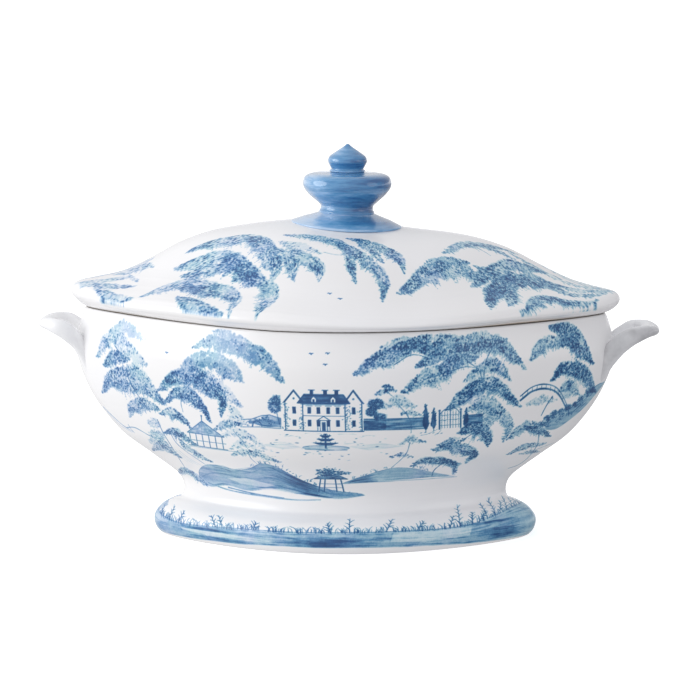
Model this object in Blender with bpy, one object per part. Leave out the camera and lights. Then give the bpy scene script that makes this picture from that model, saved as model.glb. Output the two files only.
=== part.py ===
"""A covered soup tureen of glazed stoneware, modelled as the clay pieces it is luted together from.

The body is an oval bowl on a hollow pedestal foot, with a strap loop handle at each end. The lid is a
domed shell with a locating flange below and a three-stage finial on top. The lid lifts off along +Z.

Frame: +X along the tureen from handle to handle, +Z up, origin on the table under the middle of the foot.
Every horizontal section is the same kind of curve, a pointed oval, so each piece is a loft of ovals.
Lengths are in millimetres in the named values and outlines, and become metres when a mesh is made.
"""

import math

import bmesh
import bpy
from mathutils import Vector

MM = 0.001

# Driving dimensions, in mm.
RIM_HEIGHT = 153.0  # the bowl's flat rim, which the lid rests on
RIM_LENGTH = 177.5  # half of the rim's length
RIM_WIDTH = 7.0  # how wide the flat rim is
NECK_HEIGHT = 31.0  # where the bowl is luted to its foot
WALL = 7.0  # the bowl's wall
LID_WALL = 6.0
SLIP_GAP = 0.3  # the slip joint between two pieces that are luted or rest together
SLENDERNESS = 0.72  # an oval's width over its length
PINCH = 0.48  # how pointed the ovals of the bowl and lid are: 0 is an ellipse
FOOT_PINCH = 0.36
FLANGE_DEPTH = 12.0  # how far the lid's flange reaches down into the bowl
FLANGE_PLAY = 3.0  # the flange's clearance inside the rim
FLANGE_WALL = 5.0

AROUND = 48  # sides of each oval
TURNED = 26  # sides of the round finial
STEPS = 2  # stretches that a smooth curve makes of each span between two outline points

# Outlines are (half length, height). The bowl's outside, from its foot joint up to the rim.
BOWL_OUTSIDE = [
    (110.4, NECK_HEIGHT), (111.6, 37.5), (119.4, 45.4), (134.0, 56.0), (153.8, 70.8),
    (170.4, 91.4), (180.4, 111.6), (184.0, 128.0), (181.4, 141.5), (178.4, 150.6),
]
# The bowl's inside below the wall of even thickness: the turn into its flat floor.
FLOOR_TURN = [(112.0, 51.5), (98.0, 43.0), (84.0, 39.4), (72.0, 38.5)]

# The foot's outside, from the neck down over the rolled edge to the ring it stands on.
FOOT_OUTSIDE = [
    (110.4, NECK_HEIGHT - SLIP_GAP), (111.0, 28.0), (112.6, 25.2), (118.8, 23.0), (125.2, 19.4),
    (129.6, 14.4), (131.0, 9.8), (129.8, 4.6), (126.6, 1.0), (124.8, 0.0),
]
FOOT_INSIDE = [(116.0, 0.0), (114.6, 1.4), (115.6, 8.0), (111.0, 15.0), (103.5, 22.0), (102.4, 30.7)]

# The lid's outside, from its seat on the rim out round the lip, in over the ogee and up to the crown.
LID_OUTSIDE = [
    (177.2, RIM_HEIGHT + SLIP_GAP), (182.6, 156.0), (186.3, 160.0), (187.2, 163.8), (184.8, 167.6),
    (179.5, 169.6), (166.0, 172.3), (154.0, 175.5), (141.5, 180.6), (127.0, 187.6), (111.0, 195.6),
    (94.0, 202.2), (78.0, 206.4), (58.0, 209.8), (38.0, 212.0), (18.0, 213.0),
]
LID_CROWN = 213.3
LID_INSIDE_FROM = 7  # the outline point above which the lid's inside runs level with its outside
LID_SEAT_INSIDE = 157.5  # half length of the flat seat's inner edge

# The finial's three stages, each (radius, height).
COLLAR_RADIUS = 37.6
COLLAR_EDGE = 1.0  # the thickness of the collar's outer edge
COLLAR_TOP = [(35.4, 214.7), (30.2, 216.3), (24.0, 218.3), (19.6, 219.7)]
KNOB_OUTSIDE = [
    (18.4, 220.0), (18.9, 221.4), (18.5, 224.4), (22.4, 227.6), (27.9, 233.4), (30.2, 238.8),
    (28.2, 243.6), (22.0, 245.9), (13.0, 246.6), (11.2, 247.9),
]
BUD_OUTSIDE = [(10.4, 248.2), (12.4, 251.6), (13.3, 255.2), (11.4, 258.8), (6.2, 262.2), (1.8, 264.8)]
BUD_TIP = 266.0

# A handle is a loop of rolled clay that leans up and out, tall at its roots and flattened at its
# outer end. From one root to the middle of that end: its centre (x, y, z), then half its height and
# half its thickness, which are measured upright and level.
LOOP = [
    ((161.0, 15.0, 100.0), 8.0, 4.0),
    ((170.0, 17.0, 110.8), 10.8, 4.8),
    ((176.0, 19.5, 119.2), 11.9, 5.0),
    ((181.0, 22.0, 128.0), 10.7, 5.0),
    ((186.5, 24.5, 134.5), 8.4, 5.0),
    ((192.0, 25.4, 138.3), 6.8, 4.9),
    ((197.6, 23.6, 140.6), 5.4, 5.0),
    ((203.0, 16.8, 141.8), 4.4, 5.5),
    ((205.6, 8.2, 141.5), 3.9, 5.9),
    ((206.0, 0.0, 141.1), 3.7, 6.0),
]
LOOP_SIDES = 10

GLAZE_WHITE = (0.86, 0.87, 0.89)
COBALT = (0.10, 0.23, 0.50)


def flow(points):
    """A smooth (Catmull-Rom) curve through the points, which has STEPS stretches to each span."""
    points = [Vector(p) for p in points]
    ends = [2 * points[0] - points[1], *points, 2 * points[-1] - points[-2]]
    curve = []
    for before, start, end, after in zip(ends, ends[1:], ends[2:], ends[3:]):
        for step in range(STEPS):
            t = step / STEPS
            curve.append(
                start
                + (end - before) * (t / 2)
                + (2 * before - 5 * start + 4 * end - after) * (t**2 / 2)
                + (3 * start - before - 3 * end + after) * (t**3 / 2)
            )
    return [*curve, points[-1]]


def set_in(outline, depth):
    """The outline moved this far to its left, which is inwards for one that runs up the outside."""
    moved = []
    for i, point in enumerate(outline):
        along = outline[min(i + 1, len(outline) - 1)] - outline[max(i - 1, 0)]
        moved.append(point + Vector((-along.y, along.x)).normalized() * depth)
    return moved


def oval(half_length, half_width, pinch, height):
    """The corners of one pointed oval: an ellipse whose sides draw in towards its two ends."""
    ring = []
    for i in range(AROUND):
        t = math.tau * i / AROUND
        across = math.sin(t) * (1 - pinch * math.cos(t) ** 2)
        ring.append(Vector((half_length * math.cos(t), half_width * across, height)))
    return ring


def ovals(outline, pinch, outer=None):
    """An oval at each outline point. One set in from an outer outline is narrower by the same amount."""
    rings = []
    for i, (length, height) in enumerate(outline):
        reference = outer[i].x if outer else length
        width = SLENDERNESS * reference - (reference - length)
        rings.append(oval(length, width, pinch(height) if callable(pinch) else pinch, height))
    return rings


def circles(outline):
    """A round ring at each outline point of a turned piece."""
    rings = []
    for radius, height in outline:
        angles = [math.tau * i / TURNED for i in range(TURNED)]
        rings.append([Vector((radius * math.cos(t), radius * math.sin(t), height)) for t in angles])
    return rings


def clay(name, rings, colour, roughness=0.2, looped=False, first_pole=None, last_pole=None):
    """One closed piece: the rings bridged in order. A looped one joins its last ring to its first, and
    any other is closed at each end by a fan to its pole, or by a flat face."""
    mesh = bpy.data.meshes.new(name)
    built = bmesh.new()
    rows = [[built.verts.new(point * MM) for point in ring] for ring in rings]
    pairs = list(zip(rows, rows[1:]))
    if looped:
        pairs.append((rows[-1], rows[0]))
    for low, high in pairs:
        for i in range(len(low)):
            j = (i + 1) % len(low)
            built.faces.new((low[i], low[j], high[j], high[i]))
    if not looped:
        for row, pole in ((rows[0][::-1], first_pole), (rows[-1], last_pole)):
            if pole is None:
                built.faces.new(row)
                continue
            centre = built.verts.new(Vector(pole) * MM)
            for i in range(len(row)):
                built.faces.new((row[i], row[(i + 1) % len(row)], centre))
    bmesh.ops.recalc_face_normals(built, faces=built.faces)
    built.to_mesh(mesh)
    built.free()
    mesh.shade_smooth()
    mesh.set_sharp_from_angle(angle=math.radians(40))
    mesh.materials.append(glaze(name, colour, roughness))
    piece = bpy.data.objects.new(name, mesh)
    bpy.context.scene.collection.objects.link(piece)
    return piece


def glaze(name, colour, roughness):
    material = bpy.data.materials.new(name + "_glaze")
    material.use_nodes = True
    shader = material.node_tree.nodes["Principled BSDF"]
    shader.inputs["Base Color"].default_value = (*colour, 1)
    shader.inputs["Roughness"].default_value = roughness
    shader.inputs["Metallic"].default_value = 0.0
    material.diffuse_color = (*colour, 1)
    return material


def body_pinch(height):
    """The bowl's ovals grow more pointed from the neck up to the belly."""
    rise = min(max((height - NECK_HEIGHT) / 60.0, 0.0), 1.0)
    return FOOT_PINCH + (PINCH - FOOT_PINCH) * rise


def lid_level(x, y):
    """The height of the lid's crown over a point near its middle, where its ovals are plain ellipses."""
    level = math.hypot(x, y / SLENDERNESS)
    outline = [(0.0, LID_CROWN), *LID_OUTSIDE[::-1]]
    for (near, high), (far, low) in zip(outline, outline[1:]):
        if level <= far:
            return high + (low - high) * (level - near) / (far - near)
    return RIM_HEIGHT


def crown_pinch(height):
    """The lid's ovals are plain ellipses round the crown, and pointed at its edge."""
    fall = min(max((209.8 - height) / 30.0, 0.0), 1.0)
    return PINCH * fall


def bowl():
    outside = flow(BOWL_OUTSIDE)
    wall = [Vector(p) for p in BOWL_OUTSIDE if p[1] > FLOOR_TURN[0][1]]
    inside = set_in(wall, WALL)
    rim = RIM_HEIGHT
    rings = ovals(outside, body_pinch)
    rings += ovals([Vector((RIM_LENGTH - 1.0, rim))], PINCH)
    inner_edge = [Vector((RIM_LENGTH - RIM_WIDTH, rim)), Vector((RIM_LENGTH - RIM_WIDTH - 0.4, rim - 1.6))]
    rings += ovals(inner_edge, PINCH, [Vector((RIM_LENGTH, rim))] * 2)
    rings += ovals(inside[::-1], body_pinch, wall[::-1])
    turn = [Vector(p) for p in FLOOR_TURN]
    rings += ovals(turn, body_pinch, [Vector((p.x + WALL, p.y)) for p in turn])
    return clay("tureen_bowl", rings, GLAZE_WHITE)


def foot():
    inside = [Vector(p) for p in FOOT_INSIDE]
    rings = ovals(flow(FOOT_OUTSIDE), FOOT_PINCH)
    rings += ovals(inside, FOOT_PINCH, [Vector((p.x + WALL, p.y)) for p in inside])
    return clay("pedestal_foot", rings, GLAZE_WHITE, looped=True)


def bowl_cutter():
    """The bowl's outside grown by the slip gap, which trims the handles' roots to the wall."""
    grown = [Vector((p.x + SLIP_GAP, p.y)) for p in flow(BOWL_OUTSIDE)]
    cutter = clay("bowl_cutter", ovals(grown, body_pinch), GLAZE_WHITE)
    cutter.hide_render = True
    cutter.display_type = "WIRE"
    return cutter


def handle(name, side, cutter):
    """A loop on the end of the bowl at side 1 (+X) or -1, its two roots cut to the bowl's wall."""
    other_half = [((x, -y, z), height, thickness) for (x, y, z), height, thickness in LOOP[-2::-1]]
    loop = LOOP + other_half
    path = flow([centre for centre, _, _ in loop])
    sizes = flow([(height, thickness) for _, height, thickness in loop])
    rings = []
    for i, (centre, (height, thickness)) in enumerate(zip(path, sizes)):
        along = path[min(i + 1, len(path) - 1)] - path[max(i - 1, 0)]
        outward = Vector((along.y, -along.x, 0)).normalized()
        ring = []
        for corner in range(LOOP_SIDES):
            t = math.tau * corner / LOOP_SIDES
            point = centre + outward * (thickness * math.cos(t)) + Vector((0, 0, height * math.sin(t)))
            ring.append(Vector((point.x * side, point.y, point.z)))
        rings.append(ring)
    piece = clay(name, rings, GLAZE_WHITE)
    trim = piece.modifiers.new("trim_to_bowl", "BOOLEAN")
    trim.operation = "DIFFERENCE"
    trim.solver = "EXACT"
    trim.object = cutter
    return piece


def lid():
    dome = [Vector(p) for p in LID_OUTSIDE[LID_INSIDE_FROM:]]
    inside = set_in(dome, LID_WALL)
    rings = ovals(inside[::-1], crown_pinch, dome[::-1])
    seat_height = RIM_HEIGHT + SLIP_GAP
    rings += ovals([Vector((LID_SEAT_INSIDE, seat_height))], PINCH, [Vector((RIM_LENGTH, seat_height))])
    rings += ovals(flow(LID_OUTSIDE), crown_pinch)
    ceiling = (0, 0, LID_CROWN - LID_WALL)
    return clay("lid_shell", rings, GLAZE_WHITE, first_pole=ceiling, last_pole=(0, 0, LID_CROWN))


def flange():
    """The ring under the lid that drops inside the rim and keeps the lid from sliding."""
    outer = RIM_LENGTH - RIM_WIDTH - FLANGE_PLAY
    inner = outer - FLANGE_WALL
    top, bottom = RIM_HEIGHT, RIM_HEIGHT - FLANGE_DEPTH
    corners = [(outer, top), (outer, bottom + 1.2), (outer - 1.2, bottom), (inner + 1.2, bottom)]
    corners += [(inner, bottom + 1.2), (inner, top)]
    outline = [Vector(corner) for corner in corners]
    rings = ovals(outline, PINCH, [Vector((RIM_LENGTH, z)) for _, z in corners])
    return clay("lid_flange", rings, GLAZE_WHITE, looped=True)


def finial():
    """The collar, which is fitted to the crown under it, the knob above it and the bud on top."""
    bed = []
    for radius in (12.0, 25.0, COLLAR_RADIUS):
        ring = circles([(radius, 0.0)])[0]
        bed.append([Vector((p.x, p.y, lid_level(p.x, p.y) + SLIP_GAP)) for p in ring])
    edge = [p + Vector((0, 0, COLLAR_EDGE)) for p in bed[-1]]
    rings = [*bed, edge, *circles(COLLAR_TOP)]
    clay("finial_collar", rings, COBALT, first_pole=(0, 0, LID_CROWN + SLIP_GAP))
    clay("finial_knob", circles(flow(KNOB_OUTSIDE)), COBALT)
    clay("finial_bud", circles(flow(BUD_OUTSIDE)), COBALT, last_pole=(0, 0, BUD_TIP))


def main():
    for thing in list(bpy.data.objects):
        bpy.data.objects.remove(thing, do_unlink=True)
    bowl()
    foot()
    cutter = bowl_cutter()
    handle("handle_right", 1, cutter)
    handle("handle_left", -1, cutter)
    lid()
    flange()
    finial()


main()
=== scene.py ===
"""The look of a covered stoneware soup tureen: white glaze, brush-painted in blue with arching trees, a
plain country house and low hills, a cobalt finial, white loop handles and a bare clay foot ring.

The painting is drawn by this script, dab by dab, on flat panels measured in millimetres of glaze, and
is then carried on the vertices of finely divided pieces. Lengths are in millimetres until a mesh is made.
"""

import math

import bpy
import numpy as np
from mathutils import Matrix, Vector

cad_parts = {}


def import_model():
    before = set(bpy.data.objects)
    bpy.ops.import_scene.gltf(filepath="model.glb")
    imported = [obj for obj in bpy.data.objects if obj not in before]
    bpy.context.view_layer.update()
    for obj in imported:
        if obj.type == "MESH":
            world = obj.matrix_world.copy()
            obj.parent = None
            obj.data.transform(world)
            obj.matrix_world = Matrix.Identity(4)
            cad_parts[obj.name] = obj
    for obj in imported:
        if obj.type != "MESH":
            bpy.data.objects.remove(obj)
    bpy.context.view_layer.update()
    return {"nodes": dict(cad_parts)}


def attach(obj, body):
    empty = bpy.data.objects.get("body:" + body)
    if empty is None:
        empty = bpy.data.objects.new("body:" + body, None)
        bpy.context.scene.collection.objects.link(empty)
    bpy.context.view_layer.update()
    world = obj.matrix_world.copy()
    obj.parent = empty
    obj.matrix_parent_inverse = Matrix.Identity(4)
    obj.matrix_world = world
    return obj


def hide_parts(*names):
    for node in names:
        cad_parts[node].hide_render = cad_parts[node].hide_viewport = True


MM = 0.001
CELL = 0.27  # the painting's finest grain
FINE = 0.5  # the spacing of the vertices that carry the painting
COARSE = 3.2  # the spacing of those inside the bowl and the lid
BOWL_REACH, FOOT_REACH, LID_REACH = 184.0, 131.0, 186.0  # the half lengths that FINE holds at
WALL, LID_WALL = 7.0, 6.0
CURVE_STEPS = 16  # the points between two given ones on a smooth curve
TURNED_POINTS = 128  # the points round a piece of the finial
LOOP_POINTS = 48  # the points round a handle
SLENDERNESS = 0.72  # an oval's width over its length, before it is pinched
PINCH = 0.48  # how far an oval is drawn in towards its two ends
ROOT_DEPTH = 3.6  # how deep the handles' roots go into the bowl's wall
FOOT_PINCH = 0.36
NECK = 31.0  # the height at which the bowl stands on its foot
LID_FOOT = 153.3  # the height of the lid's lower edge
LID_TOP = 213.3
COLLAR_FOOT = 213.0
RIM_RUN = 151.6  # how far up the bowl's outside the painting may reach
CLAY_RUN = 46.2  # how far down the foot the glaze runs
# the surround's brightness, how much it loses to the right and to the back, how much it gains upwards, and
# its limits
BASE_LIGHT = 0.815
SIDE_LIGHT = 0.41
FRONT_LIGHT = 0.14
TOP_LIGHT = 0.20
LEAST_LIGHT = 0.06
MOST_LIGHT = 0.89
SKYLINE_LIGHT = 1.06  # behind the object, at the camera's height
FLOOR_LIGHT = 0.52
SOFTBOXES = (  # name, place, width, height (metres) and power (watts)
    ("softbox_left", (-1.85, -0.50, 0.66), 1.6, 1.3, 15.0),
    ("softbox_right", (1.85, -0.6, 0.62), 1.1, 1.0, 2.0),
)
CAMERA_LENS = 225.9
CAMERA_AIM = (0.0036, 0.0, 0.126)
CAMERA_RANGE = 3.0
CAMERA_CLIMB = 0.374
CAMERA_TURN = math.radians(3.0)

# ---------------------------------------------------------------- outlines, as (half length, height)
BOWL_OUTSIDE = [
    (110.4, NECK), (110.5, 32.6), (111.5, 36.6), (114.2, 40.8), (119.4, 45.4), (134.0, 56.0),
    (153.8, 70.8), (170.4, 91.4), (180.4, 111.6), (184.0, 128.0), (181.4, 141.5), (178.6, 150.4),
    (177.6, 152.4), (176.4, 153.0),
]
BOWL_RIM = [(172.6, 153.05), (170.9, 152.7), (170.2, 151.4)]
BOWL_INSIDE = [
    (172.4, 148.6), (174.5, 140.4), (177.0, 128.2), (173.7, 113.9), (164.6, 95.3), (148.9, 76.0),
    (129.6, 61.5), (112.0, 51.5), (98.0, 43.0), (84.0, 39.4), (72.0, 38.5), (40.0, 38.3), (12.0, 38.2),
]
FOOT_OUTSIDE = [
    (110.4, NECK), (110.5, 29.8), (111.1, 27.6), (112.8, 25.2), (118.8, 23.0), (125.2, 19.4), (129.6, 14.4),
    (131.0, 9.8), (129.8, 4.6), (127.2, 1.2), (125.6, 0.2), (124.6, 0.0),
]
FOOT_INSIDE = [
    (117.0, 0.0), (115.2, 0.5), (114.6, 1.8), (115.6, 8.0), (111.0, 15.0), (103.5, 22.0), (102.4, 30.7),
]
LID_OUTSIDE = [
    (177.4, LID_FOOT), (180.4, 154.5), (183.4, 156.7), (186.3, 160.0), (187.2, 163.8), (184.8, 167.6),
    (179.5, 169.6), (166.0, 172.3), (154.0, 175.5), (141.5, 180.6), (127.0, 187.6), (111.0, 195.6),
    (94.0, 202.2), (78.0, 206.4), (58.0, 209.8), (38.0, 212.0), (18.0, 213.0), (1.5, LID_TOP),
]
LID_INSIDE = [
    (4.0, 207.3), (36.0, 206.1), (57.2, 203.9), (76.5, 200.6), (91.8, 196.6), (108.3, 190.2),
    (124.3, 182.2), (138.9, 175.2), (152.2, 169.8), (156.6, 164.0), (157.2, 158.0), (157.8, 153.5),
]
LID_GROOVE = [(160.0, 153.6), (161.4, 155.8), (173.6, 156.2), (175.6, 154.6), (176.6, 153.5)]
LIP_DROP = [  # how far the lid's shoulder is rounded down, by height
    (LID_FOOT, 0.0), (156.7, 0.9), (160.0, 2.8), (163.8, 4.9), (167.6, 6.2), (169.6, 5.2), (172.3, 2.6),
    (175.5, 0.8), (180.0, 0.0),
]
LEAN = [  # how far the lid stands above its even shape, by x
    (-195.0, 3.6), (-170.0, 4.2), (-150.0, 3.6), (-135.0, 4.0), (-115.0, 5.0), (-95.0, 4.6), (-75.0, 3.5),
    (-55.0, 3.0), (-35.0, 2.5), (-10.0, 0.6), (15.0, -1.0), (45.0, -2.1), (65.0, -1.5), (88.0, -0.3),
    (115.0, 1.2), (135.0, 0.8), (155.0, 0.0), (178.0, -0.9), (195.0, -0.5),
]
COLLAR = [
    (37.4, 213.2), (37.7, 213.9), (35.4, 214.7), (30.2, 216.3), (24.0, 218.3), (19.6, 219.9), (17.6, 220.6),
]
KNOB = [
    (17.0, 219.6), (18.5, 220.2), (18.8, 221.2), (17.9, 222.8), (18.0, 225.2), (20.6, 227.8), (26.2, 232.8),
    (29.6, 237.6), (30.0, 241.6), (28.3, 245.2), (23.6, 247.0), (15.6, 247.4), (11.4, 248.0),
]
BUD = [
    (10.6, 247.8), (11.9, 248.3), (12.1, 249.2), (10.9, 250.0), (11.9, 252.0), (13.3, 255.4), (12.2, 258.6),
    (7.6, 262.0), (2.8, 265.2), (0.8, 266.9),
]
THIN = (213.7, 220.0, 224.7, 248.7)  # heights on the finial where the blue glaze has run thin
LOOP = [  # a handle from its root to its middle: its section's centre, half height and half thickness
    ((158.0, 10.5, 99.0), 6.6, 4.0),
    ((170.0, 12.6, 111.6), 9.2, 4.6),
    ((176.0, 15.2, 120.2), 10.4, 4.8),
    ((181.0, 18.0, 128.2), 9.6, 4.8),
    ((186.5, 20.6, 134.4), 8.0, 4.8),
    ((192.0, 21.6, 138.4), 7.0, 5.0),
    ((197.6, 20.6, 140.8), 5.4, 5.1),
    ((203.0, 15.0, 142.2), 4.3, 5.3),
    ((205.7, 7.4, 141.8), 3.8, 5.8),
    ((206.0, 0.0, 141.3), 3.8, 6.0),
]


# ---------------------------------------------------------------- curves
def flow(points, steps):
    """A smooth (Catmull-Rom) curve through the points."""
    points = np.array(points, float)
    ends = np.vstack([2 * points[0] - points[1], points, 2 * points[-1] - points[-2]])
    curve = []
    for i in range(len(points) - 1):
        a, b, c, d = ends[i : i + 4]
        t = np.arange(steps)[:, None] / steps
        bend = (2 * a - 5 * b + 4 * c - d) * t**2 / 2
        curve.append(b + (c - a) * t / 2 + bend + (3 * b - a - 3 * c + d) * t**3 / 2)
    return np.vstack([*curve, points[-1:]])


def run_length(points):
    """How far each point lies along the line."""
    return np.concatenate([[0.0], np.cumsum(np.linalg.norm(np.diff(points, axis=0), axis=1))])


def evenly(points, spacing):
    """The smooth curve through the points, at even spacing."""
    dense = flow(points, CURVE_STEPS)
    along = run_length(dense)
    count = max(2, int(round(along[-1] / spacing)) + 1)
    stops = np.linspace(0, along[-1], count)
    return np.stack([np.interp(stops, along, dense[:, k]) for k in range(dense.shape[1])], 1)


def body_pinch(z):
    return FOOT_PINCH + (PINCH - FOOT_PINCH) * np.clip((z - NECK) / 60.0, 0, 1)


def foot_pinch(z):
    return FOOT_PINCH + 0 * z


def crown_pinch(z):
    return PINCH * np.clip((209.8 - z) / 30.0, 0, 1)


def angles(spacing, length, pinch):
    """Angles that divide a pointed oval of this half length evenly, from the front middle. They lie closer
    together round its front half, where the painting has the most to show, than round its back."""
    t = np.linspace(-math.pi / 2, math.pi * 1.5, 7201)
    x = length * np.cos(t)
    y = SLENDERNESS * length * np.sin(t) * (1 - pinch * np.cos(t) ** 2)
    along = np.linalg.norm(np.diff(np.stack([x, y], 1), axis=0), axis=1)
    weight = np.where(np.sin((t[1:] + t[:-1]) / 2) < 0.12, 1.0, 0.8) * along / spacing
    count = np.concatenate([[0.0], np.cumsum(weight)])
    columns = int(round(count[-1]))
    return np.interp(np.arange(columns) * count[-1] / columns, count, t)


def ovals(outline, pinch, t, inset=0.0):
    """One ring of points to each outline point. An inset outline is narrower by the same amount all
    round."""
    a = outline[:, :1]
    z = outline[:, 1:2]
    k = pinch(z)
    x = a * np.cos(t)
    width = SLENDERNESS * (a + inset) - inset
    y = width * np.sin(t) * (1 - k * np.cos(t) ** 2)
    return np.stack([x, y, np.broadcast_to(z, x.shape)], -1)


def around(rings):
    """How far each point lies round its ring from the front middle, and each ring's whole length."""
    closed = np.concatenate([rings, rings[:, :1]], 1)
    steps = np.linalg.norm(np.diff(closed[..., :2], axis=1), axis=2)
    along = np.concatenate([np.zeros((len(rings), 1)), np.cumsum(steps, 1)], 1)
    return along[:, :-1], along[:, -1:]


# ---------------------------------------------------------------- meshes
def loft(name, material, rings, values, first=None, last=None, loop=False):
    """A closed smooth mesh: rings bridged in order, and closed into a loop or at a pole at each end.
    values are fields with a number for each point of the rings, for the material to read."""
    rows, columns = rings.shape[:2]
    points = [rings.reshape(-1, 3)]
    index = np.arange(rows * columns).reshape(rows, columns)
    low = index if loop else index[:-1]
    high = np.roll(index, -1, 0) if loop else index[1:]
    quads = np.stack([low, np.roll(low, -1, 1), np.roll(high, -1, 1), high], -1).reshape(-1, 4)
    triangles = []
    for pole, ring, flip in ((first, index[0], True), (last, index[-1], False)):
        if pole is None or loop:
            continue
        centre = sum(len(p) for p in points)
        points.append(np.array([pole], float))
        following = np.roll(ring, -1)
        fan = np.stack([ring, following, np.full(columns, centre)], 1)
        triangles.append(fan[:, ::-1] if flip else fan)
    fans = np.concatenate(triangles) if triangles else np.zeros((0, 3), int)
    mesh = bpy.data.meshes.new(name)
    spots = np.concatenate(points) * MM
    mesh.vertices.add(len(spots))
    mesh.vertices.foreach_set("co", spots.ravel().astype(np.float32))
    corners = np.concatenate([quads.ravel(), fans.ravel()])
    starts = np.concatenate([np.arange(len(quads)) * 4, len(quads) * 4 + np.arange(len(fans)) * 3])
    mesh.loops.add(len(corners))
    mesh.loops.foreach_set("vertex_index", corners.astype(np.int32))
    mesh.polygons.add(len(starts))
    mesh.polygons.foreach_set("loop_start", starts.astype(np.int32))
    mesh.update(calc_edges=True)
    if mesh.validate():
        print(name, "had faces that were mended")
    mesh.polygons.foreach_set("use_smooth", np.ones(len(mesh.polygons), bool))
    for label, field in values.items():
        layer = mesh.attributes.new(label, "FLOAT", "POINT")
        padded = np.zeros(len(spots), np.float32)
        padded[: field.size] = field.ravel()
        layer.data.foreach_set("value", padded)
    mesh.materials.append(material)
    piece = bpy.data.objects.new(name, mesh)
    bpy.context.scene.collection.objects.link(piece)
    return piece


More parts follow.
